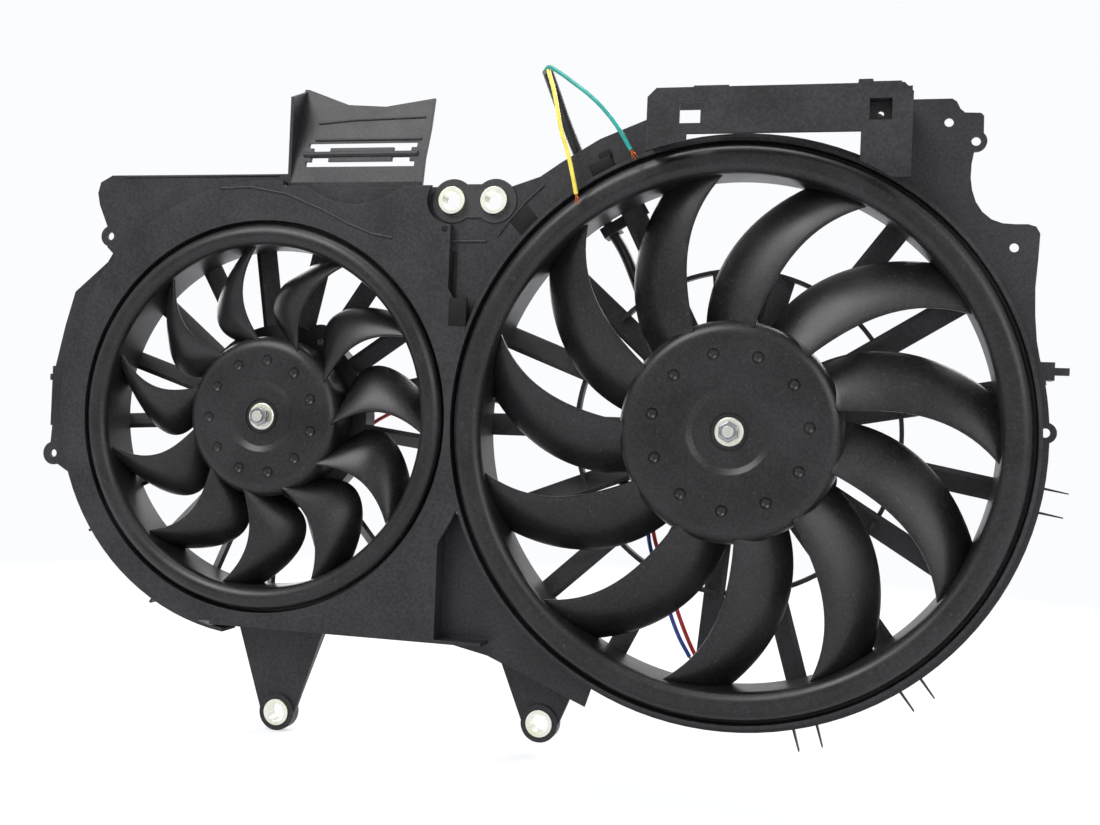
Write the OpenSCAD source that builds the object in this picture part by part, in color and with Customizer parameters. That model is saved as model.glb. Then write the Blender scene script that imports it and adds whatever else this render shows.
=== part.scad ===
// Twin electric radiator cooling fan on one moulded shroud.
// X runs across the radiator, Z is up and the fan faces look along -Y, towards the radiator.
// The origin is the front end of the mounting sleeve in the lower ear beside the large fan.
// Most outlines are drawn around the fan axes, in X and Z seen from the front.

/* [Fans] */
// Outer diameter of the large fan's rounded lip
large_lip_d = 390; // [380:1:400]
// Outer diameter of the small fan's rounded lip
small_lip_d = 286; // [276:1:290]
// Diameter of the large fan's hub
large_hub_d = 154; // [146:1:162]
// Diameter of the small fan's hub
small_hub_d = 120; // [114:1:126]
// Width of the large fan's lip, from the lip's edge to the inside of the band
large_lip_w = 20; // [16:0.5:24]
// Width of the small fan's lip, from the lip's edge to the inside of the band
small_lip_w = 16; // [13:0.5:19]
// Number of blades on the large fan
large_blades = 11; // [7:1:12]
// Number of blades on the small fan
small_blades = 11; // [7:1:12]
// Depth of the fan bands from the front of the lip
band_depth = 38; // [35:1:40]
// Thickness of the bands and lips
band_wall = 2.6; // [2:0.2:3.2]
// Depth of the lips
lip_depth = 10; // [8:0.5:11]
// Depth of the hub's front face behind the front of the lip
hub_face = 8; // [6:0.5:10]
// Thickness of the hub's face and skirt
hub_wall = 3; // [2.5:0.1:3.5]
// Thickness of a blade
blade_t = 2.6; // [2:0.2:3.2]
// Diameter of the motor shafts
shaft_d = 8; // [6:0.5:10]

/* [Shroud] */
// Gap between the two lips where the fans come closest
fan_gap = 9.4; // [9:0.2:14]
// Height of the large fan's axis above the small fan's axis
fan_rise = 2.7; // [0:0.1:6]
// Thickness of the shroud's walls
wall = 2.5; // [2:0.1:3]
// Clearance between a fan's lip and the wall around it
lip_gap = 2.5; // [2:0.1:3]
// Radial gap between a fan's band and the collar behind the lip
collar_gap = 7; // [5:0.5:8]
// Depth of the face around the small fan
face_y = 4; // [2:0.5:6]
// Depth of the upper flange and the web between the fans
web_y = 11; // [9:0.5:13]
// Depth of the outer flanges
flange_y = 22; // [20:0.5:25]
// Depth of the rear edges of the collars
collar_y = 52; // [50:0.5:55]

/* [Stators] */
// Number of spokes that carry the large motor
large_spokes = 17; // [13:1:17]
// Number of spokes that carry the small motor
small_spokes = 17; // [13:1:19]
// Thickness of a vane, along the air's way
vane_t = 3.2; // [2.6:0.2:3.6]
// Width of a large stator's vane across the air's way
large_vane_w = 16; // [12:0.5:18]
// Width of a small stator's vane across the air's way
small_vane_w = 12; // [9:0.5:14]
// Outer diameter of a motor carrier ring
carrier_d = 142; // [138:1:146]
// Width of the channel between the two walls of a carrier
carrier_channel = 9; // [8:0.5:10]
// Radius of the thin ring that ties the large spokes together
tie_ring_r = 114; // [104:1:124]

/* [Motors] */
// Outer diameter of the motor cans
can_d = 101; // [97:1:103]
// Thickness of the sheet of the cans
can_wall = 2.5; // [2:0.1:3]
// Depth of the large motor's rear face
large_can_rear = 66; // [63:0.5:69]
// Depth of the small motor's rear face
small_can_rear = 74; // [71:0.5:77]
// Radius of the circle of the three motor screws
lug_r = 66; // [64:0.5:68]
// Thickness of the motor mounting plates
lug_t = 2; // [1.6:0.1:2.4]
// Radial running clearance between a shaft and its bearings
shaft_clear = 0.03; // [0.02:0.01:0.08]
// Radial clearance of pieces that are pressed or screwed together
seat_gap = 0.05; // [0.02:0.01:0.1]
// Radial gap between armature and magnets
air_gap = 1; // [0.6:0.1:1.4]

/* [Mounting] */
// Outer diameter of the metal mounting sleeves
sleeve_od = 19.5; // [18:0.5:21]
// Bore of the metal mounting sleeves
sleeve_id = 13.6; // [12:0.2:15]
// Length of the metal mounting sleeves
sleeve_l = 12; // [10:0.5:14]
// Distance between the two upper sleeves
upper_pitch = 31.4; // [30:0.2:34]
// Depth of the front end of the lower sleeve beside the large fan
large_ear_y = 37; // [35:0.5:39]
// Depth of the front end of the lower sleeve beside the small fan
small_ear_y = 27; // [25:0.5:29]
// Diameter of the small holes in the flanges
flange_hole_d = 6; // [4:0.5:7]

/* [Leads] */
// Outer diameter of the black sleeve over a motor's wires
lead_d = 8; // [7:0.5:9]
// Outer diameter of one wire
wire_d = 3; // [2.4:0.1:3.4]

/* [Hidden] */

plastic = [0.13, 0.13, 0.14];
plastic_light = [0.22, 0.22, 0.23];
zinc = [0.72, 0.75, 0.79];
steel = [0.62, 0.62, 0.64];
copper = [0.72, 0.42, 0.22];

// Large fan's axis and small fan's axis, seen from the lower ear's sleeve
fan_spacing = (large_lip_d + small_lip_d) / 2 + fan_gap;
large_axis = [131.7, large_lip_d / 2 + 21.7];
small_axis = [large_axis[0] - fan_spacing, large_axis[1] - fan_rise];
// Lower sleeve of the small side and the inner one of the upper pair
small_ear = [-202.2, -8.6];
upper_bush = [-40.7, large_axis[1] + 157.7];

// Radii that follow from the lips
large_lip_r = large_lip_d / 2;
small_lip_r = small_lip_d / 2;
large_band_r = large_lip_r - large_lip_w + band_wall;
small_band_r = small_lip_r - small_lip_w + band_wall;
large_well_r = large_lip_r + lip_gap;
small_well_r = small_lip_r + lip_gap;
large_collar_r = large_band_r + collar_gap;
small_collar_r = small_band_r + collar_gap;
large_rim_r = large_well_r + wall + 6;
lip_nose_r = lip_depth - 2;
floor_y = lip_depth + 3;
carrier_y = band_depth + 3;
spoke_depth = collar_y - carrier_y;
carrier_rear = 58;
chamber_r = small_well_r + 23.5;
chamber_axis = [small_axis[0] + 2, small_axis[1] + 6];
panel_top = upper_bush[1] + 10.4;
panel_foot = small_axis[1] - 154;
divider_x = large_axis[0] - large_well_r - wall - 3;
carrier_r = carrier_d / 2;
carrier_in_r = carrier_r - wall * 2 - carrier_channel;
can_r = can_d / 2;
magnet_t = 8;
shaft_r = shaft_d / 2;
can_front = 22;
core_front = can_front + 18;
large_core_rear = large_can_rear - 12;
small_core_rear = small_can_rear - 14;
lug_y = carrier_rear - lug_t - 8;
recess_depth = 3;
// Rounding of the hub's shoulder
hub_round = 10;
boss_r = shaft_r + 7;
screw_r = 2.5;
block_w = 26;
block_h = 7;
large_block_angle = 154;
small_block_angle = 4;
nut_t = 5;
washer_t = 1.5;
big = 1000;

// Moves children from the large fan's lip plane to the part's own frame
module part() {
    translate([0, -large_ear_y, 0]) children();
}

// Thickens an outline of X and Z into a plate from depth y0
module slab(y0, t) {
    translate([0, y0 + t, 0]) rotate([90, 0, 0]) linear_extrude(height = t) children();
}

// Round bar along Y between two depths
module bar(at, y0, y1, d) {
    translate([at[0], y1, at[1]]) rotate([90, 0, 0]) cylinder(h = y1 - y0, d = d, $fn = 64);
}

// Turns a profile of radius and depth around an axis along Y
module turned(at, profile) {
    translate([at[0], 0, at[1]]) rotate([-90, 0, 0]) rotate_extrude($fn = 128) polygon(profile);
}

// Moves an outline to an axis
module on(at) {
    translate([at[0], at[1]]) children();
}

module disc(r) {
    circle(r = r, $fn = 128);
}

function polar(r, a) = [r * cos(a), r * sin(a)];
// Points of an arc from angle a0 to angle a1
function arc(r, a0, a1, n) = [for (i = [0:n]) polar(r, a0 + (a1 - a0) * i / n)];
// Wedge between two angles, as an outline that reaches past radius r
function wedge(r, a0, a1) = concat([[0, 0]], arc(r, a0, a1, 12));
// Outline points from a list of angle and distance outside radius r
function rim(r, steps) = [for (s = steps) polar(r + s[1], s[0])];

// Angles of the motor screws and of the first spoke of each stator
large_lugs = [98, 211, 332];
small_lugs = [62, 180, 303];
large_first = 11;
small_first = 14;

// Box frame above the large fan, and the air deflector, relative to the large fan's axis
bracket_x = [-60, 112];
bracket_z = [197, 228];
bracket_front = -19;
bracket_rear = 41;
deflector_x = -334.5;
deflector_w = 106;

// Flange around the small fan, as angle and distance outside the well
side_rim = [
    [137.4, 40], [141, 38], [151.7, 48], [160, 44], [171.5, 43], [172.5, 36],
    [184, 41], [189, 44], [193.5, 41], [197, 30], [204, 26], [211.3, 23], [219, 20], [227.4, 18],
    [238.4, 20], [248.7, 18], [259.2, 15]
];
corner_rim = [
    [83, 37], [100, 38.3], [116, 55.9], [126.6, 80], [129.4, 82], [131.2, 77], [132.4, 69], [134.5, 48],
    [137.4, 40], [137.4, 12], [83, 12]
];
// Wing beyond the upper right of the large fan, relative to its axis
wing = [
    [108, 120], [108, 227], [137.5, 227], [140.5, 225], [143, 220], [146, 217.6], [156, 217.2],
    [158, 215.2], [158.2, 203], [152.5, 191], [151.2, 183], [151, 174], [152.2, 166], [154.8, 158.3],
    [159, 151.8], [165, 146.8], [172, 144.2], [180, 143.6], [188, 143.6], [193, 142], [195.6, 137.5],
    [195, 122], [193.8, 102], [194.4, 84], [196, 67], [199, 52], [203, 39], [150, 39]
];
// Holes of the flanges, relative to the large fan's axis, and the radius of the lobe around each
wing_holes = [[136, 211.2], [153.6, 198.4], [179.9, 128.2], [large_rim_r - 2.6, 7.7]];
// Holes of the small fan's flanges, relative to its own axis
corner_hole = [11.4 - small_well_r, small_well_r - 11.4];
side_hole = [-small_well_r - 38.6, -35.9];
// Screw posts on the rim and on the rail, relative to the large fan's axis
post_d = 13;
rim_post = polar(large_rim_r - 7, 110);
rail_post = [88.4, 213];
// Ribs behind the web: heights of the cross ribs, and start, turn and length of the slanted ones
rib_t = 1.8;
rib_depth = collar_y - 6 - flange_y - wall;
cross_ribs = [88, 48.5, -5, -80];
slanted_ribs = [[-206, 116, 40, 42], [-206, -82, 62, 66]];
// Vanes of the large stator that a pair of thin prongs marks on the rim, and the prongs' reach
prong_vanes = [13, 14, 16];
prong_l = 15;

module small_well_hole() {
    on(small_axis) disc(small_well_r);
}

module large_well_hole() {
    on(large_axis) disc(large_well_r);
}

// Round recess below the air deflector
seat_axis = [large_axis[0] - 278, large_axis[1] + 212];
seat_r = 60;

// Figure of eight around the two upper sleeves
module mount_outline(grow) {
    for (i = [0, 1]) on([upper_bush[0] - i * upper_pitch, upper_bush[1]]) disc(sleeve_od / 2 + 6 + grow);
    on(upper_bush) translate([-upper_pitch, -12 - grow]) square([upper_pitch, 24 + 2 * grow]);
}

// Room above the panel's edge, from the deflector's end on
module deflector_place() {
    translate([large_axis[0] + deflector_x - seat_gap, panel_top]) square([big, big]);
}

// Flat face around the small fan, from the chamber's arc to the divider
module face_outline() {
    difference() {
        union() {
            on(chamber_axis) disc(chamber_r);
            translate([small_axis[0] + 2, panel_foot])
                square([divider_x - small_axis[0] - 2, panel_top - panel_foot]);
        }
        translate([small_axis[0] - big, panel_foot - big]) square([2 * big, big]);
        small_well_hole();
        large_well_hole();
        on(seat_axis) disc(seat_r);
        mount_outline(2);
        deflector_place();
    }
}

// Floor of the recess below the deflector, set back to the upper flange's depth
module seat_outline() {
    difference() {
        intersection() {
            on(seat_axis) disc(seat_r);
            translate([seat_axis[0] - big, panel_top - big]) square([2 * big, big]);
        }
        small_well_hole();
    }
}

// Step wall that joins the face to the flanges behind it
module step_wall(a0, a1) {
    intersection() {
        on(chamber_axis) difference() {
            disc(chamber_r);
            disc(chamber_r - wall);
        }
        difference() {
            on(chamber_axis) polygon(wedge(chamber_r * 1.3, a0, a1));
            deflector_place();
        }
    }
}

module side_flange() {
    difference() {
        union() {
            on(small_axis) polygon(concat([[0, 0]], rim(small_well_r, side_rim)));
            on(small_axis) on(side_hole) disc(9);
        }
        on(chamber_axis) disc(chamber_r - wall);
        on(small_axis) on(side_hole) disc(flange_hole_d / 2);
    }
}

module corner_flange() {
    difference() {
        union() {
            on(small_axis) polygon(rim(small_well_r, corner_rim));
            on(small_axis) on(corner_hole) disc(8);
        }
        on(chamber_axis) disc(chamber_r - wall);
        on(small_axis) on(corner_hole) disc(flange_hole_d / 2);
        deflector_place();
    }
}

// Web above and below the narrow place between the fans
module web_outline() {
    difference() {
        on(large_axis) polygon([
            [-206, 60], [-206, 136], [-226, 136], [-226, 168], [-161, 168], [-140, 175], [-125, 185],
            [-98, 201], [bracket_x[0] - 0.3, 216], [bracket_x[0] - 0.3, 140], [-105, 115]
        ]);
        on(large_axis) disc(large_well_r);
        on(small_axis) disc(small_well_r);
        mount_outline(seat_gap);
    }
}

module foot_outline() {
    difference() {
        on(large_axis) polygon([[-206, -60], [-206, -160], [-168, -168], [-95, -198], [-80, -150]]);
        large_well_hole();
        small_well_hole();
    }
}

module wing_outline() {
    difference() {
        on(large_axis) union() {
            polygon(wing);
            for (h = wing_holes) on(h) disc(flange_hole_d / 2 + 4);
        }
        large_well_hole();
        on(large_axis) for (h = wing_holes) on(h) disc(flange_hole_d / 2);
    }
}

// Lower ear: a tapered tongue with a round end, hanging from the foot of the panel
module ear_outline(at, top, half_w, end_r) {
    difference() {
        union() {
            polygon([
                [at[0] - half_w, top], [at[0] + half_w, top], [at[0] + end_r, at[1]], [at[0] - end_r, at[1]]
            ]);
            on(at) disc(end_r);
        }
        on(at) disc(sleeve_od / 2 + seat_gap);
    }
}

module ear(at, top, half_w, y) {
    end_r = sleeve_od / 2 + 4;
    slab(y + 3, wall + 1) ear_outline(at, top, half_w, end_r);
    slab(y + 1, sleeve_l - 2) difference() {
        on(at) disc(end_r);
        on(at) disc(sleeve_od / 2 + seat_gap);
    }
    translate([at[0] - wall / 2, y + 3, at[1] + end_r - 0.5]) cube([wall, 9, top - at[1] - end_r + 0.5]);
    for (side = [-1, 1]) slab(y + 3, 8) polygon([
        [at[0] + side * half_w, top], [at[0] + side * (half_w - wall), top],
        [at[0] + side * (end_r - wall), at[1] + 6], [at[0] + side * end_r, at[1] + 6]
    ]);
}

// Triangular rib between the collar and the flange, drawn at angle 0
module gusset() {
    translate([0, 0, -1]) linear_extrude(height = 2) polygon([
        [large_collar_r + wall + seat_gap, flange_y + wall - 1], [large_rim_r - 1, flange_y + wall - 1],
        [large_collar_r + wall + seat_gap, collar_y - 4]
    ]);
}

// Ribs behind the web between the collars: cross ribs, a pocket and two slanted ribs
module web_ribs() {
    difference() {
        translate([large_axis[0], flange_y + wall - 0.5, large_axis[1]]) {
            for (z = cross_ribs) translate([-245, 0, z]) cube([90, rib_depth, rib_t]);
            translate([-189, 0, 68]) cube([40, rib_depth - 4, rib_t]);
            translate([-189, 0, 68]) cube([rib_t, rib_depth - 4, cross_ribs[0] - 68 + 1]);
            translate([-178, 0, 107]) cube([rib_t, rib_depth - 6, 29]);
            for (r = slanted_ribs) translate([r[0], 0, r[1]]) rotate([0, r[2], 0])
                cube([r[3], rib_depth, rib_t]);
        }
        bar(large_axis, 0, big, 2 * (large_collar_r + wall + seat_gap));
        bar(small_axis, 0, big, 2 * (small_collar_r + wall + seat_gap));
    }
}

module shroud_panel() {
    color(plastic) part() {
        web_ribs();
        // Pins under the plate of the two upper sleeves
        for (i = [0, 1]) bar(upper_bush - [i * upper_pitch + 6.6, 19.9], web_y + 1, flange_y + 4, 6.8);
        // Pairs of thin prongs that stand out from the rim
        for (i = prong_vanes, side = [-1, 1]) slab(flange_y + 0.4, wall + 3)
            on(large_axis) rotate(large_first + i * 360 / large_spokes) polygon([
                [large_rim_r - 4, side * large_vane_w / 2 - 0.9],
                [large_rim_r - 4, side * large_vane_w / 2 + 0.9],
                [large_rim_r + prong_l, side * large_vane_w / 2 + 0.4],
                [large_rim_r + prong_l, side * large_vane_w / 2 - 0.4]
            ]);
        // Raised ring around the lower hole of the wing
        slab(flange_y + wall - 0.5, 6) difference() {
            on(large_axis) on(wing_holes[2]) disc(10.5);
            on(large_axis) on(wing_holes[2]) disc(flange_hole_d / 2 + 2);
        }
        slab(face_y, wall) face_outline();
        slab(face_y, web_y + wall - face_y) step_wall(84, 139);
        slab(face_y, flange_y + wall - face_y) step_wall(138, 262);
        slab(web_y, wall) seat_outline();
        slab(face_y, web_y + wall - face_y) intersection() {
            seat_outline();
            on(seat_axis) difference() {
                disc(seat_r);
                disc(seat_r - wall);
            }
        }
        slab(web_y, wall) corner_flange();
        slab(flange_y, wall) side_flange();
        slab(web_y, wall) web_outline();
        slab(flange_y, wall) foot_outline();
        slab(flange_y, wall) wing_outline();
        slab(flange_y, wall) difference() {
            on(large_axis) disc(large_rim_r);
            large_well_hole();
            on(large_axis) polygon([[0, 0], [-big, 125], [-big, -150]]);
            on(large_axis) for (h = wing_holes) on(h) disc(flange_hole_d / 2);
        }
        // Screw post on the rim
        bar(large_axis + rim_post, flange_y + 0.5, bracket_rear + 4, post_d);
        slab(face_y, flange_y + wall - face_y) difference() {
            on(large_axis) disc(large_well_r + wall);
            large_well_hole();
        }
        slab(face_y, flange_y + wall - face_y) difference() {
            on(small_axis) disc(small_well_r + wall);
            small_well_hole();
            large_well_hole();
        }
        // Divider beside the small fan's face
        slab(face_y, collar_y - face_y) difference() {
            translate([divider_x - wall, panel_foot]) square([wall, panel_top - panel_foot]);
            small_well_hole();
            large_well_hole();
            mount_outline(2);
        }
        // Radial ribs in the chamber around the small fan
        for (a = [84, 104, 124, 142, 165, 184, 214, 240])
            translate([small_axis[0], face_y + 1, small_axis[1]]) rotate([0, -a, 0])
                translate([small_well_r + 1, 0, -0.8]) cube([20, web_y + wall - face_y - 1, 1.6]);
        // Gussets where the large stator's spokes meet the flange
        for (i = [0:large_spokes - 1]) let (a = large_first + i * 360 / large_spokes)
            if (a < 150 || a > 225) translate([large_axis[0], 0, large_axis[1]]) rotate([0, -a, 0]) gusset();
        // Lower skirt that carries the two ears
        translate([small_axis[0] - 32, face_y, panel_foot - wall])
            cube([fan_spacing - 168 + 32, large_ear_y + 7 - face_y, wall]);
        ear(small_ear, panel_foot - 1, 36, small_ear_y);
        difference() {
            ear([0, 0], panel_foot - 1, 38, large_ear_y);
            bar(large_axis, large_ear_y - 1, large_ear_y + 20, 2 * (large_collar_r + wall + 0.3));
        }
    }
}

// Collar behind a lip: a floor ring and a tube
module collar(at, well_r, r) {
    turned(at, [
        [r, floor_y], [well_r - seat_gap, floor_y], [well_r - seat_gap, floor_y + wall],
        [r + wall, floor_y + wall], [r + wall, collar_y], [r, collar_y]
    ]);
}

module large_collar() {
    color(plastic) part() collar(large_axis, large_well_r, large_collar_r);
}

module small_collar() {
    color(plastic) part() collar(small_axis, small_well_r, small_collar_r);
}

// Outline of a carrier: a ring with three lobes around the motor screws
module carrier_outline(r, lobe_r, angles) {
    disc(r);
    for (a = angles) rotate(a) {
        translate([lug_r, 0]) disc(lobe_r);
        polygon([
            [r * 0.7, -lobe_r * 1.6], [lug_r, -lobe_r * 0.97], [lug_r, lobe_r * 0.97], [r * 0.7, lobe_r * 1.6]
        ]);
    }
}

module stator(at, r_collar, vane_w, spokes, first, angles, short_spokes = [], short_r = 0) {
    lobe_r = 11;
    // Outer wall
    slab(carrier_y, carrier_rear - carrier_y) on(at) difference() {
        carrier_outline(carrier_r, lobe_r + wall, angles);
        carrier_outline(carrier_r - wall, lobe_r, angles);
    }
    // Inner wall
    slab(carrier_y, carrier_rear - 10 - carrier_y) on(at) difference() {
        disc(carrier_in_r + wall);
        disc(carrier_in_r);
    }
    // Floor between the walls with its webs, and the drilled bosses of the screws
    difference() {
        union() {
            slab(carrier_y, wall) on(at) difference() {
                carrier_outline(carrier_r, lobe_r, angles);
                disc(carrier_in_r);
            }
            for (i = [0:2 * spokes - 1]) translate([at[0], carrier_y, at[1]])
                rotate([0, -first - i * 180 / spokes, 0]) translate([carrier_in_r + wall / 2, 0, -0.8])
                    cube([carrier_channel + wall, lug_y - carrier_y - 1, 1.6]);
            for (a = angles) slab(carrier_y, lug_y - carrier_y)
                on(at) rotate(a) translate([lug_r, 0]) disc(6);
        }
        for (a = angles) let (p = polar(lug_r, a))
            bar([at[0] + p[0], at[1] + p[1]], carrier_y - 1, lug_y + 1, 2 * (screw_r + seat_gap));
    }
    // Slanted vanes from the carrier to the collar
    difference() {
        for (i = [0:spokes - 1])
            let (end_r = len(search(i, short_spokes)) > 0 ? short_r : r_collar + wall / 2)
            translate([at[0], carrier_y, at[1]]) rotate([0, -first - i * 360 / spokes, 0])
                translate([carrier_r - wall / 2, 0, 0]) rotate([90, 0, 90])
                    linear_extrude(height = end_r - carrier_r + wall / 2) polygon([
                        [0, vane_w / 2], [0, vane_w / 2 - vane_t],
                        [spoke_depth, -vane_w / 2], [spoke_depth, vane_t - vane_w / 2]
                    ]);
        slab(carrier_y - 1, spoke_depth + 2) on(at) carrier_outline(carrier_r - wall, lobe_r, angles);
        slab(carrier_y - 1, spoke_depth + 2) on(at) difference() {
            disc(r_collar * 1.2);
            disc(r_collar - seat_gap);
        }
    }
}

module large_stator() {
    color(plastic) part() {
        stator(
            large_axis, large_collar_r, large_vane_w, large_spokes, large_first, large_lugs,
            [3, 4], tie_ring_r
        );
        turned(large_axis, [
            [tie_ring_r - 1.5, collar_y - 8], [tie_ring_r + 1.5, collar_y - 8],
            [tie_ring_r + 1.5, collar_y - 1], [tie_ring_r - 1.5, collar_y - 1]
        ]);
    }
}

module small_stator() {
    color(plastic) part()
        stator(small_axis, small_collar_r, small_vane_w, small_spokes, small_first, small_lugs);
}

// Box frame above the large fan

module top_bracket() {
    color(plastic) part() translate([large_axis[0], 0, large_axis[1]]) {
        difference() {
            slab(bracket_front, wall) polygon([
                [bracket_x[0], bracket_z[0] - 15], [bracket_x[0] + 27, bracket_z[0] - 15],
                [bracket_x[0] + 27, bracket_z[0]], [bracket_x[1] - 32, bracket_z[0]],
                [bracket_x[1] - 32, bracket_z[0] - 30], [bracket_x[1], bracket_z[0] - 30],
                [bracket_x[1], bracket_z[1] - 6], [bracket_x[1] - 6, bracket_z[1]],
                [bracket_x[0] + 6, bracket_z[1]], [bracket_x[0], bracket_z[1] - 6]
            ]);
            for (x = [-31, 92]) translate([x - 7, bracket_front - 1, 204]) cube([14, wall + 2, 14]);
            bar([0, 0], bracket_front - 1, bracket_front + wall + 1, 2 * large_lip_r);
        }
        slab(bracket_front, wall) polygon([[77, 227], [87, 227], [86.5, 230.5], [77.5, 230.5]]);
        // Pocket behind the right window, with a small hole in its floor
        difference() {
            translate([83, bracket_front + wall - 0.1, 202]) cube([18, 10, 18]);
            translate([85, bracket_front, 204]) cube([14, 10, 14]);
            bar([92, 210], bracket_front, bracket_front + 20, 4);
        }
        for (x = [bracket_x[0], bracket_x[1] - wall])
            translate([x, bracket_front + wall, bracket_z[0] - 4])
                cube([wall, flange_y - bracket_front - wall, 28]);
    }
}

module top_rail() {
    color(plastic) part() translate([large_axis[0], 0, large_axis[1]]) {
        for (x = [bracket_x[0], bracket_x[1] - wall])
            translate([x, flange_y + wall, bracket_z[0] - 4])
                cube([wall, bracket_rear - flange_y - wall, 44]);
        translate([bracket_x[0], bracket_rear, 228]) cube([bracket_x[1] - bracket_x[0], wall, 9]);
        // Screw post held by a web off the right cheek
        bar(rail_post, flange_y + wall + 4, bracket_rear + 5, post_d + 1);
        translate([rail_post[0], flange_y + wall + 4, rail_post[1] - 1])
            cube([bracket_x[1] - rail_post[0] - 1, bracket_rear - flange_y - wall - 4, 2]);
        // Hooks that hold a cable on the rail
        for (x = [-22, 96]) {
            translate([x, bracket_rear, 236]) cube([9, wall + 3, 9]);
            translate([x - 16, bracket_rear, 242.5]) cube([16.5, wall, 2.5]);
        }
    }
}

module air_deflector() {
    foot = panel_top - large_axis[1] + seat_gap;
    color(plastic) part() translate([large_axis[0], 0, large_axis[1]]) difference() {
        translate([deflector_x, 0, 0]) rotate([90, 0, 90]) linear_extrude(height = deflector_w) polygon([
            [web_y, foot], [web_y + wall, foot], [18, 190], [28, 214], [38, 250], [38 - wall, 251],
            [28 - wall, 215], [18 - wall, 191], [web_y, 172]
        ]);
        // Top edge: high at the outer end, with a dip to the middle
        slab(0, 60) polygon([
            [deflector_x - 1, 260], [deflector_x - 1, 247.5], [deflector_x + 4, 247],
            [deflector_x + 38, 234], [deflector_x + 68, 232],
            [deflector_x + deflector_w + 1, 238], [deflector_x + deflector_w + 1, 260]
        ]);
        for (z = [184, 199]) translate([deflector_x + 12, 0, z]) cube([deflector_w - 20, 40, 4]);
        for (x = [16, 80]) translate([deflector_x + x, 0, 187]) cube([14, 40, 13]);
    }
    // Cheek at the outer end
    color(plastic) part() translate([large_axis[0] + deflector_x, 0, large_axis[1]]) rotate([90, 0, 90])
        linear_extrude(height = wall) polygon([
            [web_y, foot], [web_y, 236], [38 - wall, 246], [38 - wall, 240], [28 - wall, 215],
            [18 - wall, 191], [18 - wall, foot]
        ]);
    // Hinge pin across the windows
    color(plastic) part() translate([large_axis[0] + deflector_x + 10, 17, large_axis[1] + 193.5])
        rotate([0, 90, 0]) cylinder(h = deflector_w - 16, d = 5, $fn = 32);
}

module upper_mount_plate() {
    color(plastic_light) part() slab(web_y - 1, wall + 1.5) difference() {
        mount_outline(0);
        for (i = [0, 1]) on([upper_bush[0] - i * upper_pitch, upper_bush[1]]) disc(sleeve_od / 2 + seat_gap);
    }
}

module sleeve(at, y) {
    color(zinc) part() turned(at, [
        [sleeve_id / 2, y], [sleeve_od / 2, y], [sleeve_od / 2, y + sleeve_l], [sleeve_id / 2, y + sleeve_l]
    ]);
}

module upper_sleeve_inner() {
    sleeve(upper_bush, web_y - 5);
}

module upper_sleeve_outer() {
    sleeve([upper_bush[0] - upper_pitch, upper_bush[1]], web_y - 5);
}

module lower_sleeve_large() {
    sleeve([0, 0], large_ear_y);
}

module lower_sleeve_small() {
    sleeve(small_ear, small_ear_y);
}

// Side locators: a block behind the flange with a peg that points outwards
module locator_left() {
    color(plastic) part() translate([small_axis[0] - 189.5, flange_y + wall, small_axis[1]]) {
        translate([0, 0, -14]) cube([19, 12, 38]);
        translate([0, 0, 17]) cube([19, 20, 16]);
        translate([-12, 14, 22]) cube([12.5, 5, 5]);
    }
}

module locator_right() {
    color(plastic) part() translate([large_axis[0] + large_rim_r - 12, flange_y + wall, large_axis[1] + 42]) {
        cube([14, 18, 12]);
        translate([13.5, 11, 4]) cube([11, 5, 5]);
    }
}

// Blade surface: angles of the two edges at fraction s of the span, measured from the root's middle
function edge_angle(e, s) = e[0] + e[1] * s + e[2] * pow(s, 2) + e[3] * pow(s, 3);
large_edges = [[19.5, -20, -15, 3.5], [-8.5, -9.5, 0, -8.5]];
small_edges = [[8, 104, -181.5, 72], [-7.3, 44, -64, 20.5]];
blade_front = 10;
blade_rear = 34;
span_steps = 7;
chord_steps = 4;

function blade_point(edges, r0, r1, i, j, side) =
    let (
        s = i / span_steps,
        c = j / chord_steps,
        a = edge_angle(edges[0], s) * (1 - c) + edge_angle(edges[1], s) * c,
        y = blade_rear * (1 - c) + blade_front * c - 16 * c * (1 - c) + side * blade_t / 2,
        p = polar(r0 + (r1 - r0) * s, a)
    ) [p[0], y, p[1]];

function blade_points(edges, r0, r1) = [
    for (side = [-1, 1]) for (i = [0:span_steps]) for (j = [0:chord_steps])
        blade_point(edges, r0, r1, i, j, side)
];

// Vertex number of one grid place on the front (0) or rear (1) skin
function vert(side, i, j) = side * (span_steps + 1) * (chord_steps + 1) + i * (chord_steps + 1) + j;

function skin(side) = [
    for (i = [0:span_steps - 1]) for (j = [0:chord_steps - 1])
        let (
            a = vert(side, i, j), b = vert(side, i + 1, j),
            c = vert(side, i + 1, j + 1), d = vert(side, i, j + 1)
        )
            for (t = side == 0 ? [[a, b, c], [a, c, d]] : [[c, b, a], [d, c, a]]) t
];

function edge_faces() = [
    for (i = [0:span_steps - 1]) for (j = [0, chord_steps])
        let (a = vert(0, i, j), b = vert(0, i + 1, j), c = vert(1, i + 1, j), d = vert(1, i, j))
            for (t = j == 0 ? [[c, b, a], [d, c, a]] : [[a, b, c], [a, c, d]]) t,
    for (j = [0:chord_steps - 1]) for (i = [0, span_steps])
        let (a = vert(0, i, j), b = vert(0, i, j + 1), c = vert(1, i, j + 1), d = vert(1, i, j))
            for (t = i == 0 ? [[a, b, c], [a, c, d]] : [[c, b, a], [d, c, a]]) t
];

module blade(edges, r0, r1) {
    polyhedron(
        points = blade_points(edges, r0, r1), faces = concat(skin(0), skin(1), edge_faces()), convexity = 4
    );
}

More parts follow.
